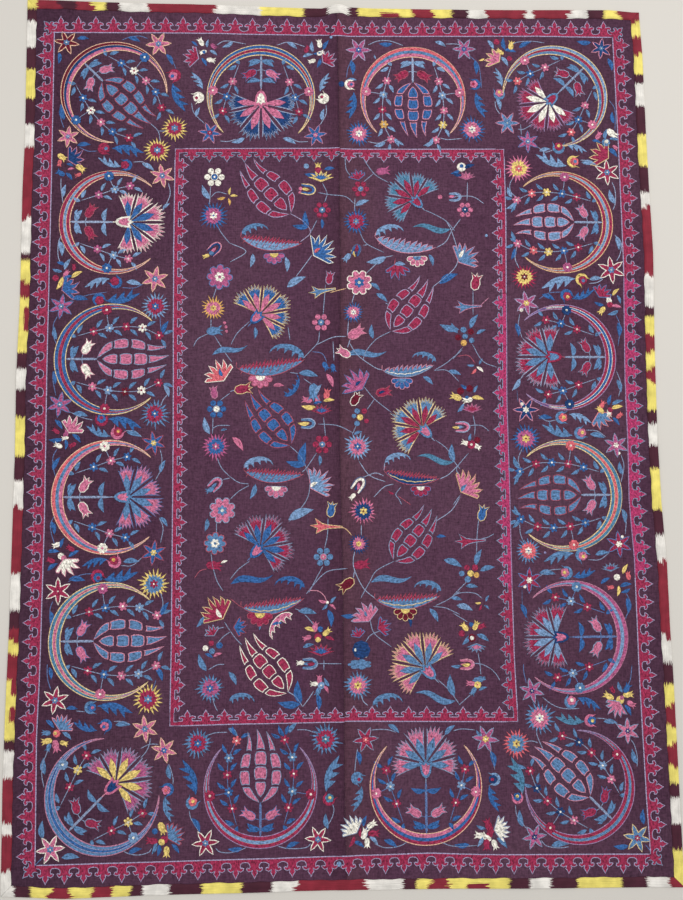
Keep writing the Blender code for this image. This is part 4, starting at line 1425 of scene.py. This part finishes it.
    "leftSideFourthToSixthMedallion": """
    stem 57 449 53 457 53.5 468 55.5 476.5 blue, leaf 56.5 463.5 62 36,
    stem 55 515 50.5 524 51.5 534 54.5 544, leaf 52.8 528 -75 34,
    stem 160 449 162 459 160 471 155.5 480 steel, leaf 162.8 466.4 68 34,
    stem 159 517.7 163 528 160.5 543, leaf 163.6 522 -52 30, star 153.5 552.7 83 29 blue crimson yellow,
    bud 56.5 545 200 22 cream, leaf 62.3 542.7 70 26 blue, bud 70.4 548.5 150 22 crimson,
    leaf 53.5 551.8 0 30 blue, 74 553.7 30 30, ball 60.9 556 8 cream, 63.5 558 7 pink,
    bud 50.6 560.3 160 22 crimson, leaf 52.8 566.9 35 30 blue, lily 68.2 567.6 -60 46 cream pink,
    sawL 94.6 563 195 62 blue, rose 114.4 561.3 120 16 crimson pink gold,
    stem 121 565.5 132 565.5 142 557.5 steel, leaf 131.3 561.8 0 38, 77 580 -5 40 blue,
    stem 68 582 80.7 575 94 573.5, rose 97.5 576.4 -60 16 blue crimson crimson,
    sawL 121 575.7 12 84 blue, star 58 591.3 92 31 crimson cream crimson,
    burst 154 584 0 36 yellow steel crimson, stem 160.6 592.5 163 604 159 615 steel,
    leaf 165 608.7 60 36 blue, stem 53 601 50 610 50.6 629, leaf 50.6 619 -88 36""",
    "leftEdgeOfTheFieldLowerHalf": """
    stem 217 457.6 221.5 467.9 230 476.7 steel, cup 215.6 484 225 42 pink steel,
    bud 209.8 490 200 22 steel, stem 223 479.6 230 478, bloom 222.3 510.4 0 31 pink steel steel,
    leaf 206 525 -100 32 steel, stem 216.4 522 216.4 534, bloom 215 543.4 20 26 steel crimson cream,
    stem 211 553 212.7 566 217 581 223 591 steel, bud 214 565.4 -5 38 crimson,
    stem 206.8 569 200 571 194.4 578, leaf 224.4 562 20 18 cream,
    lily 214.5 608.5 130 62 crimson yellow 7, heart 219 613 120 26 cream, leaf 200 622 235 30 steel,
    stem 224.4 622 230 630.7, lily 211.2 630.7 120 26 crimson steel, stem 215.6 629.2 224.4 627 steel,
    ball 211.2 643.2 7 crimson, 219.3 645.4 8 blue, 205.4 648.3 7 cream, 212 651.2 7 steel,
    leaf 209 656 -30 22 blue, 217.8 654.9 20 22 pink, stem 230 632 223 637 217 644 steel,
    leaf 202.5 662.5 115 44, stem 208.3 670 217 665 224.4 664.4""",
    "fieldLowerHalfOfTheLeftPanel": """
    leaf 237.7 444 -52 43 pink, stem 290 446 300.4 456 306.3 468 steel, leaf 304 454.7 82 62 blue,
    296 462.7 172 50, 319.5 460.5 -90 26 steel, stem 316.5 453 306.3 468 302 472,
    boat 243.8 470 -4 144 steel crimson crimson -, comma 243.5 468 5 72 sky,
    half 276.2 486.5 -92 28 pink steel cream, leaf 252.7 491.5 -110 38 steel,
    stem 230 476.7 238.8 482.5 249 484, 249 485.5 238.8 491.3 230 499.4,
    306.3 468 309.2 478 310 484 307.8 497 300.4 509 288.7 522, lily 321 481 35 60 sky pink 8,
    heart 314 484.5 30 22 cream, leaf 301 514.8 22 66 sky,
    carnation 260 547.5 46 87 crimson blue steel pink blue 216,
    stem 249.8 561 238.8 569 230 579.4 steel, bud 331.2 509.7 80 36 blue yellow,
    stem 328 517.7 327.5 534 324.6 548.5 steel, horn 326 526.5 178 76 coral yellow,
    stem 351.8 535.3 345 528.5 335 526.2 gold, rosette 323.4 556.9 23 steel steel pink,
    stem 323 566 316.5 578 309 592.5 steel, 347.4 568.4 329.8 570.6 321 576.4 312 586.7 306.3 594,
    wave 252 579.4 12 104 blue, comma 304.8 587.5 176 72 blue x,
    boat 241 606.5 7 150 steel crimson crimson yellow, half 260 613 -92 31 crimson crimson yellow,
    leaf 259.3 627 -90 16 steel, stem 230 598.4 241 607 crimson,
    308.5 590.4 318 591 323.9 595.5 326.8 601.4 pink, leaf 322.5 601 165 22, 333.4 600 50 22 steel,
    332.7 607 -40 20 pink, 324.6 607 225 20 steel, ball 327.3 602.5 4 cream,
    leaf 329.7 618.2 -80 42 blue, stem 295 608.7 301 611 steel, leaf 307.5 612.4 -8 44,
    stem 304.8 614.6 309 619 313.6 624.8, comma 292 614 -128 74 pink cream x, leaf 277 624 10 26 blue,
    lily 241 627 0 34 blue crimson, stem 230 630.7 236 639 242 645 steel, bud 315 627 80 26 pink,
    leaf 310 630 -20 28 yellow, ball 320.2 629.2 7 blue, bud 326.8 632.2 40 24 yellow,
    ball 318 637 9 crimson, 318 639.5 7 yellow, bud 307 638 200 22 pink,
    leaf 329.8 638.8 -20 24 crimson, 308.5 646 15 28 steel, lotus 321 652 90 62 blue crimson,
    stem 323.9 660 323.9 670 steel, cup 310 663.7 180 42 steel steel, heart 311 663.7 180 20 crimson,
    bud 300.4 663 180 20 cream, stem 316.5 663.7 341.5 663.7 steel,
    tulip 287 692.5 131 160 crimson cream""",
    "fieldLowerHalfOfTheRightPanel": """
    stem 359 461.3 369.4 475.2 385.5 481.8 sky, cup 359 484.5 235 46 cream navy,
    heart 358 486.5 -100 20 pink, bud 352.5 496.5 225 20 cream, stem 362.8 477.4 375.2 473 384 476 sky,
    comma 384.8 462.7 5 64, stem 384.8 462.7 384 471, wave 435.4 459 172 92 teal,
    leaf 453 453 95 46 steel, stem 435.4 440 447 448.8 454 461 460 469,
    boat 384 470.8 -8 136 navy crimson crimson yellow, half 420.7 486.5 -90 25 crimson blue cream,
    stem 400.9 487 395.8 494.3 398.7 498.7 401.6 504.5 steel, 398 496 404 500 411 505 crimson,
    leaf 391 492.5 150 16, stem 393.6 484 384 487 373.8 497.2 sky,
    burst 363.5 511.1 0 34 pink navy yellow, stem 361.3 525 361.3 535.4 sky,
    burst 358.8 543.9 0 26 navy pink yellow,
    stem 354.7 551.5 353.2 560.3 354.7 570.6 363.5 588.2 375.2 598.4 sky, bud 361.5 564.7 8 40 crimson,
    stem 354.7 570.6 353.2 578 sky, bud 346.6 584.5 215 42 wine yellow, leaf 441.2 536.8 0 24 blue,
    tulip 394.3 560.3 50 152 crimson steel, stem 394.3 561 376.7 570.6 369.4 582.3 360.6 598.4 steel,
    460 497.2 451.5 510.4 436.8 520.7 sky, leaf 453 563.5 -22 48 steel, wave 391.4 579.4 8 100,
    comma 441.2 591 174 66 steel x, boat 374.5 598.4 2 157 steel crimson crimson yellow,
    half 405.3 609 -90 28 wine yellow yellow, leaf 409.7 622 -80 26 navy, 433.9 615.3 -58 38 steel,
    stem 433.2 606.5 445.6 608 460 614.6, 435.4 605.8 448.6 599.2 460 591,
    439.8 478.9 448.6 474.5 460 463.5 sky, lily 364 612 118 50 pink lilac 6,
    heart 366 613.5 110 18 steel, leaf 348 615.3 180 34 blue,
    stem 370 619.7 374.5 633.6 391.4 646.8 steel, lily 357.6 632.2 110 26 crimson blue,
    384.5 626.3 20 34, stem 380.4 630.7 370.8 635 365.7 641.7 steel, ball 361.3 649.8 22 navy,
    355.9 649.8 5 cream, 365.7 655.6 5, 367.9 646.8 4 pink, 359 657 4 coral,
    cloud 359.8 664.4 0 58 steel, carnation 425.5 668 132 92 pink steel yellow pink steel 216""",
    "rightEdgeOfTheFieldLowerHalf": """
    stem 468.4 453.2 456.7 467.9 459.6 475.2 steel, lily 470 483.5 42 60 pink gold 7,
    heart 464 488 50 24 steel, stem 460.3 495 453 505, bud 482.3 513.3 75 38 blue yellow,
    stem 478.7 519.2 477.2 533.9 476.5 554.4 steel, horn 470 541 183 74 crimson steel,
    stem 481 539 488 537 494 533.9 steel, leaf 478.7 557.3 68 42, 487.5 569 14 38,
    ball 467 567.6 7 crimson, 475 567.6 8, 470.6 573.5 8 yellow, 476.5 575 7 gold, 461.8 573.5 7 steel,
    467.7 579.4 8, stem 467.7 580.8 453 595.5, leaf 472 586.7 -5 30,
    stem 453 595.5 461.8 592.6 475 593.3 482.3 598.4, leaf 487.5 598.4 60 18, 478 602.8 180 16 yellow,
    480 608 240 16 crimson, 486.7 607.2 -40 16 steel, 456.7 599.2 -10 28, 464.7 608 -18 42 sky,
    stem 453 613 467.7 622 steel, bud 464.7 627 130 24 yellow, 475.7 625.6 65 24,
    ball 471.3 624.5 6 blue, bud 481.6 626.3 20 22 crimson, ball 461.8 633.6 8,
    leaf 466 640 230 30 steel, 483 638 -30 34, ball 472 638 10 wine, 472 638 6 cream,
    lotus 476.5 646.5 -90 46 pink steel, stem 478 652.7 480.9 670 steel, cup 467 664.4 180 40 pink pink,
    heart 466 664.4 180 22 yellow, leaf 456 666 180 24 steel, stem 472 663 482.3 664.4 491 668.8""",
    "rightSideFourthToSixthMedallion": """
    stem 522 448.8 518.3 459 520.5 469.3 steel, leaf 516.5 462.5 112 34, 517.5 475.2 215 28,
    stem 621 454.7 623.9 466.4 621 482.5, leaf 621 468 100 34, stem 620.2 507.5 626 517.7 625.4 533.9,
    leaf 623.9 516.3 -82 36, ball 618.8 453.2 4 cream, star 619 544.2 95 31 crimson blue cream,
    ball 622.4 536.8 4 cream, burst 528.5 550.8 0 32 steel coral cream,
    stem 519.7 523.6 520.5 533.9 524 542.7 steel, leaf 516 512 152 26, 516 523.6 230 28,
    ball 545.1 552.7 3 lilac, sawL 558.6 557.4 195 76 steel, rose 582 555.2 -45 16 pink steel yellow,
    stem 588 559.6 599.7 559.6 609 553 steel, leaf 602.6 553.7 8 36, 547.6 573.5 -5 40,
    stem 539.5 576.4 548.4 570.6 561.6 569, rose 566 572.8 170 16 pink steel yellow,
    sawL 584.3 573.5 15 58 blue, lotus 610.7 568.5 95 44 crimson steel, leaf 625.4 569 60 28 yellow,
    ball 617 577.2 8 cream, bud 628.3 575.7 100 22 coral, leaf 605.6 580.8 30 28 blue,
    bud 610.7 587.4 190 18 coral, leaf 626 585.2 10 30 blue, 618 591 -100 26 yellow,
    625.4 590.6 200 26 blue, stem 626 592.6 630.5 604.3 625.4 619, leaf 627.6 605.8 -88 40,
    star 529.3 580.3 88 30 crimson blue cream, ball 524.9 586.7 4 cream,
    stem 522 589.6 522.7 605.8 528.5 620.4 navy, leaf 523.4 611 -70 36 blue""",
    "leftSideBetweenTheLowestTwoMedallions": """
    stem 47.2 664 47.5 678 51 690.5 blue, leaf 50 673.5 -80 30, star 55 700.4 81 31 crimson cream steel,
    stem 76 711 85 711.8 steel, leaf 72 708.8 -4 27 blue, rose 91 707.6 0 15 blue steel pink,
    sawR 115.2 709.6 -12 84 blue, burst 148.1 699.2 0 36 yellow crimson steel,
    leaf 159.2 674.4 -65 36 blue, stem 156 680 154 686 151.8 691.3, lily 63.8 722.4 62 40 steel pink 7,
    leaf 50 724.3 -45 28 blue, bud 46.2 733 175 22 steel, leaf 66.7 736 -40 28, ball 56.6 733.6 9 coral,
    55.2 733.2 5 yellow, bud 46.6 741.3 190 26, 63.8 743.2 -15 20, 55.8 746.2 -75 30 pink,
    48.4 747.7 250 20 steel, stem 47.7 750.7 45.5 756.5 42.5 764 41.8 775.6 44 787.4,
    leaf 44.2 766.1 95 40, sawR 84.8 726.3 160 60 blue, rose 105.3 725.7 215 15 pink blue blue,
    stem 113.7 721.6 121 721.5 130 724 steel, leaf 123 725 0 36, star 144.9 729 97 30 pink peach steel,
    164 750.4 105 29 pink peach blue, stem 150.3 738.2 149.6 743.3 146.7 750.7 140.8 758 steel,
    140.8 748.5 149.6 744.3 158.4 744.5""",
    "leftSideLowestMedallion": """
    stem 168.7 763.9 171 770 173 778.5 173 784 steel, leaf 169.3 771.8 100 34,
    rose 167.2 789.6 210 15 pink blue coral, sawL 168 809.4 -75 60 steel,
    lily 175.5 833 35 42 steel crimson 7, bud 162.1 828.4 -65 30 yellow, ball 154.8 831.4 7 blue,
    bud 151.8 840.9 175 28 crimson, ball 164.4 839.6 9, 161.8 842 8 yellow, leaf 154 848.2 250 30 steel,
    158.4 850.4 -100 28 blue, bud 166.5 851.9 -90 26 yellow, leaf 175.3 849 -50 28 blue,
    42.5 829.9 92 41 steel, star 50.2 849.7 67 32 pink cream steel,
    stem 43.3 857 39.6 860.7 34.5 865.8 blue, leaf 70.4 857.8 0 42 steel, 135 851.2 18 34 blue,
    stem 121.8 849.7 127.6 853.4 137.9 855.1 148.2 852.6 151.8 848.2 steel,
    burst 198 743.3 0 34 steel crimson blue, stem 207.6 735.3 215.6 732.8 227.4 732.3 steel,
    sawL 189.2 777.1 112 86 blue, rose 192.2 802.8 60 15 coral steel yellow,
    stem 189.2 810.8 190.7 818.2 195.1 825.5 198.8 831.4 steel, leaf 195.8 825.5 -60 38 blue,
    star 205.4 843.1 65 30 crimson cream steel,
    stem 215.6 848.2 220 851.9 230 852.6 241 849.7 246 847.5 steel, leaf 235 848.6 182 34 blue,
    233 732.6 -42 32 steel""",
    "bottomOfTheField": """
    ball 331 37.5 4 sky, 339 864 6, burst 210 688.3 0 33 steel rose blue,
    stem 212.5 697 214.5 705 217.5 711 steel, leaf 232.5 678.5 -60 36, comma 229 701 -4 60,
    stem 287.2 691.3 296 697.1 302.6 706.7 sky, leaf 299.3 692.5 98 56 blue, 289 703.3 175 54,
    stem 302.6 706.7 307.7 700.1 313.6 691.3 sky, bud 319.5 679.6 90 22 pink,
    leaf 326.8 682 120 24 steel, bud 314.3 684 180 20 cream, ball 321.2 685.4 9 sky,
    321.2 685.4 3 cream, leaf 326 689.5 -60 22 pink, bud 318 692 -110 22 steel,
    leaf 318 702.3 -85 38 blue, burst 357.9 685.4 0 34 steel pink yellow,
    stem 360.6 694.2 363.5 701.5 367.9 705.5 sky, comma 372.6 705.4 5 72 steel, wave 435 697 169 100,
    leaf 452.2 685.4 100 52, stem 437.6 679.5 449 690 460 705, cloud 479.4 679.4 10 34,
    bud 470.6 683.5 175 22 pink, ball 477.6 684.7 9 yellow, 477.6 684.7 3 coral,
    leaf 483 688.8 20 22 steel, bud 473.5 691.3 -120 22, stem 480.1 668 480.9 674.4,
    472 693.5 466.2 698.6 458.9 705.2, 491 668.8 496 674 500 680.5""",
    "bottomRowAboutTheSeam": """
    leaf 293 727.9 50 32 steel, 281.3 730.9 118 30 blue, stem 296.7 729.9 306.3 729.9 315.8 733.1 steel,
    burst 325.6 739 0 37 steel crimson teal, sawR 332.7 773.4 69 88 steel,
    rose 329 799 60 15 teal crimson yellow, stem 332.7 804.2 333.9 810.8 331.2 819.6 326.1 827.7 steel,
    leaf 326.8 821.1 98 36, star 318 839.4 115 29 crimson cream steel,
    stem 277.7 846 285.7 848.2 296 848.7 306.3 847.5 310.7 843.8 steel, leaf 293 845.3 20 34 blue,
    star 365.7 739.7 127 29 crimson steel coral, leaf 368.6 732.3 60 20 steel,
    stem 371.6 730.1 379.6 729.4 388.4 729.9 395.8 732.3, leaf 393.6 728.9 -38 34, 450 730.1 42 34,
    stem 357.6 748.5 356.1 758 354.7 772.7, leaf 358.4 758 -78 34 blue,
    rose 357.6 778.5 -30 15 steel steel crimson, sawR 357.6 799.1 -110 60 steel,
    lily 350.5 825.5 130 44 cream sky 7, leaf 365 821 72 26 blue, bud 371.6 824.8 30 26 cream,
    373.8 833.6 0 27 crimson, leaf 361 833 100 24, bud 364.5 833.6 70 28 cream,
    leaf 366.8 832 85 28 blue, bud 367.2 843.1 -90 24 cream, leaf 373.8 840.9 -45 28 sky,
    351.8 841.6 240 28 crimson, 359.1 844.6 -30 28 blue,
    stem 374.5 843.8 384 847.5 392.8 847.5 401.6 845.3 407.5 841.6 steel,
    leaf 390.6 843.8 -30 36 blue""",
    "rightSideBetweenTheLowestTwoMedallions": """
    stem 523.4 664 523.8 672 526.3 683.2 blue, star 531.9 690.8 103 29 rose steel navy,
    stem 542.5 697.1 549.8 703 558.6 707.4 568.9 708.9 579.2 708.4 steel,
    burst 539.5 718.1 0 38 steel pink cream, rose 571 701.5 60 16 pink steel cream,
    sawR 589.4 703.7 -27 63 blue, 569.6 719.1 170 72 teal, rose 590.9 720.6 0 15 blue pink yellow,
    leaf 610.7 722.5 -8 34 steel, stem 596 718.1 605.6 719.1 617.3 724, bud 612.6 689.8 120 18 crimson,
    leaf 620.2 686.9 110 28 steel, bud 626.8 688.3 60 26 blue, 608.8 696.4 150 28 yellow,
    628.3 694.6 5 26, ball 620.2 700.1 10, 621.6 697.9 6 pink, bud 631.2 704 -30 24,
    lily 615 709 235 40 pink steel 6, leaf 627.9 710.3 -60 30 blue,
    stem 627.6 685.4 630.5 678.8 632 665, star 627.6 730.9 90 29 pink steel navy,
    stem 631.2 739.7 634.9 746.3 637.5 758 637.1 766.8 steel, leaf 634.9 756.5 108 38""",
    "rightSideLowestMedallion": """
    star 485.6 738.9 112 31 rose steel yellow, leaf 478.7 733.1 130 20 steel,
    stem 453 730.9 461.8 729 475 730.1, 489.7 749.9 492.6 758 494.8 769.7, leaf 492.6 759.5 -78 40 blue,
    rose 494 779.3 180 15 navy sky crimson, sawL 494.1 799.1 -70 63 blue,
    bud 488.2 824.8 110 30 crimson, leaf 480.9 827 160 24 steel, lily 503 828.5 10 42 cream sky 7,
    bud 480.1 835.8 170 28 cream, 490 833.5 60 30 crimson, 486.5 837.5 150 26 cream,
    leaf 480.1 841.6 240 28 sky, bud 486.7 844.6 -90 28 crimson, 494.8 844.6 -70 24 cream,
    leaf 502.1 843.1 -45 34 steel, 461.8 844.6 180 36 blue,
    stem 440 841.5 450 845.5 462 846.5 477.2 845.3 steel, burst 516.4 743.6 0 35 coral steel yellow,
    stem 523.4 741.9 532.2 741.1 538.1 742.9 steel, 536.6 729.4 537.3 736 541 744.8 542.8 749.2,
    sawL 516.8 775.6 106 89 teal, rose 517.5 797.6 100 14 blue pink yellow,
    stem 515.3 805 516.8 815.2 521.9 822.6 526.3 828.4 steel, leaf 521.2 818.2 100 40,
    star 534.4 836.9 68 28 rose steel navy, stem 541 840.2 546.9 846 558.6 847.8 568.9 846.8 steel,
    leaf 560.1 845 4 42, 621 846 180 36 blue, star 637.4 838 108 32 steel yellow crimson,
    stem 645.2 844.6 651 851.2 blue, leaf 643.7 816.7 90 36""",
}


def cup(at, turn, length, silks):
    # a bud like a horseshoe: the ring, its outer line and what it holds
    ring, line = silks
    go = put(at, turn, length)
    swing = np.exp(1j * math.pi * (1 - 0.58 * np.linspace(-1, 1, 13)))
    outer = np.concatenate([[0.42 - 0.27j], 0.42 * swing.real + 0.30j * swing.imag, [0.42 + 0.27j]])
    inner = np.concatenate([[0.40 - 0.17j], 0.24 * swing.real + 0.155j * swing.imag, [0.40 + 0.17j]])
    fill(ring, go(np.concatenate([outer, inner[::-1]])), math.radians(turn))
    chain(line, go(outer), wide=lineWide["cup"], level=1)
    fill(line, go(leafShape(0.34, 0.5) * 0.50 - 0.10), math.radians(turn))


def lotus(at, turn, length, silks):
    # a wide open flower seen from the side: petals, their line
    petals, line = silks
    corners = [-0.15 + 0.0j]
    tips = np.radians([-84, -56, -28, 0, 28, 56, 84])
    for number, angle in enumerate(tips):
        corners.append(0.31 * math.cos(angle) + 0.52j * math.sin(angle))
        if number < 6:
            angle = (angle + tips[number + 1]) / 2
            corners.append(0.16 * math.cos(angle) - 0.03 + 0.29j * math.sin(angle))
    go = put(at, turn, length)
    stitch(go(corners), line, line, math.radians(turn), lineWide["lotus"])
    fill(petals, go(0.62 * np.array(corners) + 0.01), math.radians(turn), 1)


def bloom(at, turn, radius, silks):
    # a round flower with lobes: petals, line, middle
    petals, line, middle = silks
    go = put(at, turn, radius)
    stitch(go(lobed(8, 0.30)), petals, line, wide=lineWide["bloom"])
    fill(middle, go(0.42 * lobed(6, 0.3)), None, 1)
    dot(at, radius * 0.14, "cream" if middle != "cream" else petals, 6, 2)


def cloud(at, turn, length, silks):
    shape = lobed(7, 0.24) * 0.5
    fill(silks[0], put(at, turn, length)(shape.real + 0.42j * shape.imag), math.radians(turn))


def centred(motif):
    # shapes that grow from their base are put down by their middle
    def placed(at, turn, length, silks):
        motif(at - 0.5 * length * mm * np.exp(1j * math.radians(turn)), turn, length, silks)

    return placed


kinds = {
    "leaf": centred(lambda at, turn, length, silks: leaf(at, turn, length, silks[0], 0.34)),
    "heart": centred(lambda at, turn, length, silks: leaf(at, turn, length, silks[0], 0.4, level=1)),
    "sawL": centred(saw),
    "sawR": centred(lambda at, turn, length, silks: saw(at, turn, length, silks, -1)),
    "wave": centred(wave), "bud": centred(bud), "lily": centred(lily), "horn": centred(horn),
    "comma": comma, "boat": boat, "half": halfFlower, "star": star, "burst": burst, "bloom": bloom,
    "rose": rose, "cup": cup, "lotus": lotus, "cloud": cloud, "carnation": carnation,
    "tulip": lambda at, turn, length, silks: tulip(at, turn, length, silks, 1.0,
                                                   1 if turn < 90 else -1),
}


def isNumber(word):
    return word.lstrip("-").replace(".", "").isdigit()


kind, silks = None, []
for rows in strewn.values():
    for row in rows.split(","):
        words = row.split()
        kind = kind if isNumber(words[0]) else words.pop(0)
        numbers = []
        while words and isNumber(words[0]):
            numbers.append(float(words.pop(0)))
        silks = words or silks
        if kind == "stem":
            stem(silks[0], *spot(numbers[0::2], numbers[1::2]), wide=lineWide["stem"])
        elif kind == "ball":
            dot(spot(*numbers[:2]), numbers[2], silks[0])
        elif kind == "rosette":
            rosette(spot(*numbers[:2]), numbers[2], silks)
        else:
            kinds[kind](spot(*numbers[:2]), *numbers[2:], silks)
print("strewn flowers and leaves are stitched")

# the stitched silk becomes one piece for each colour
floss = {
    "tint": 200.0,  # uneven dye, in patches 5 mm across
    "strandDyeAndShading": {"laid": (90.0, 430.0, 1.0), "chain stitch": (330.0, 500.0, 1.0)},  # streaks along the threads, per metre: partly uneven dye, partly painted shade in the gaps between threads and painted highlights on them
    "depth": (0.20, 1.76),
    "laidApart": 0.0009,  # metres; real threads are finer and wouldn't show
    "loop": 0.003,  # the length of a chain stitch
    # chain stitched lines are mixed with a light grey pink: a painted sheen, as if their loops caught
    # more light
    "paintedSheenColour": "DCC6C2",
    "paintedSheenShare": 0.22,  # how much of this painted sheen the chain stitched lines get, apart from these
    "paintedSheenShareIn": {"cream": 0.0, "yellow": 0.3, "gold": 0.3, "peach": 0.3, "crimson": 0.11, "cerise": 0.11,
                "wine": 0.11, "navy": 0.11, "blue": 0.11},
    "finish": {"Roughness": 0.5, "Specular IOR Level": 0.14},
}


def stitchedSilk(name, way):
    # floss silk with little twist: glossy along the threads, dyed a little unevenly, with painted shade
    # and painted highlights in streaks along the threads; the chain stitched lines are made lighter by
    # a painted sheen
    material, tree, shader = newMaterial(name + " " + way + " silk", floss["finish"])
    flat = addNode(tree, "UVMap", {"uv_map": "thread"}).outputs[0]
    tint = addNode(tree, "TexNoise", {}, {
        "Vector": flat, "Scale": floss["tint"], "Detail": 4.0, "Roughness": 0.6})
    stretched = addNode(tree, "Mapping", {}, {"Vector": flat, "Scale": floss["strandDyeAndShading"][way]})
    strandDyeAndShading = addNode(tree, "TexNoise", {}, {
        "Vector": stretched.outputs[0], "Scale": 1.0, "Detail": 3.0, "Roughness": 0.6})
    # the streaks darken and lighten the dye: partly uneven dye, partly painted shade between the
    # threads and painted highlights on them
    both = addNode(tree, "Math", {"operation": "MULTIPLY_ADD"}, [
        tint.outputs["Fac"], 1.1, strandDyeAndShading.outputs["Fac"]])
    depth = addNode(tree, "MapRange", {}, [both.outputs[0], 0.75, 1.35, *floss["depth"]])
    dye, paintedSheenTone = np.array(linear(silk[name])), np.array(linear(floss["paintedSheenColour"]))
    # painted sheen: the chain stitched lines are made lighter
    if way == "chain stitch":
        dye = dye + floss["paintedSheenShareIn"].get(name, floss["paintedSheenShare"]) * (paintedSheenTone - dye)
    colour = addNode(tree, "Mix", {"data_type": "RGBA", "blend_type": "MULTIPLY"}, {
        0: 1.0, 6: dye, 7: depth.outputs[0]})
    tree.links.new(colour.outputs[2], shader.inputs["Base Color"])
    if way == "chain stitch":  # each loop is a V, open to the next one
        cut = addNode(tree, "SeparateXYZ", {}, [flat])
        lean = addNode(tree, "Math", {"operation": "ABSOLUTE"}, [cut.outputs["Y"]])
        shifted = addNode(tree, "Math", {"operation": "ADD"}, [cut.outputs["X"], lean.outputs[0]])
        loops = addNode(tree, "CombineXYZ", {}, [shifted.outputs[0]])
        threads = addNode(tree, "TexWave", {"bands_direction": "X"}, {
            "Vector": loops.outputs[0], "Scale": math.pi / 10 / floss["loop"], "Distortion": 0.5})
    else:
        threads = addNode(tree, "TexWave", {"bands_direction": "Y"}, {
            "Vector": flat, "Scale": math.pi / 10 / floss["laidApart"], "Distortion": 0.8,
            "Detail Scale": 0.3})
    bump = addNode(tree, "Bump", {}, {
        "Strength": 0.55, "Distance": 0.0005, "Height": threads.outputs["Fac"]})
    tree.links.new(bump.outputs[0], shader.inputs["Normal"])
    return material


for name, heap in work.items():
    chained = np.array(heap["chained"])
    materials = [stitchedSilk(name, "laid"), stitchedSilk(name, "chain stitch")]
    piece = meshPiece("silk_" + name, np.concatenate(heap["verts"]), heap["faces"],
                      np.concatenate(heap["uvs"]), materials, chained, chained)
    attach(piece, "root")
    triangles = sum(len(face.vertices) - 2 for face in piece.data.polygons)
    print("silk", name, len(heap["faces"]), "faces,", triangles, "triangles")
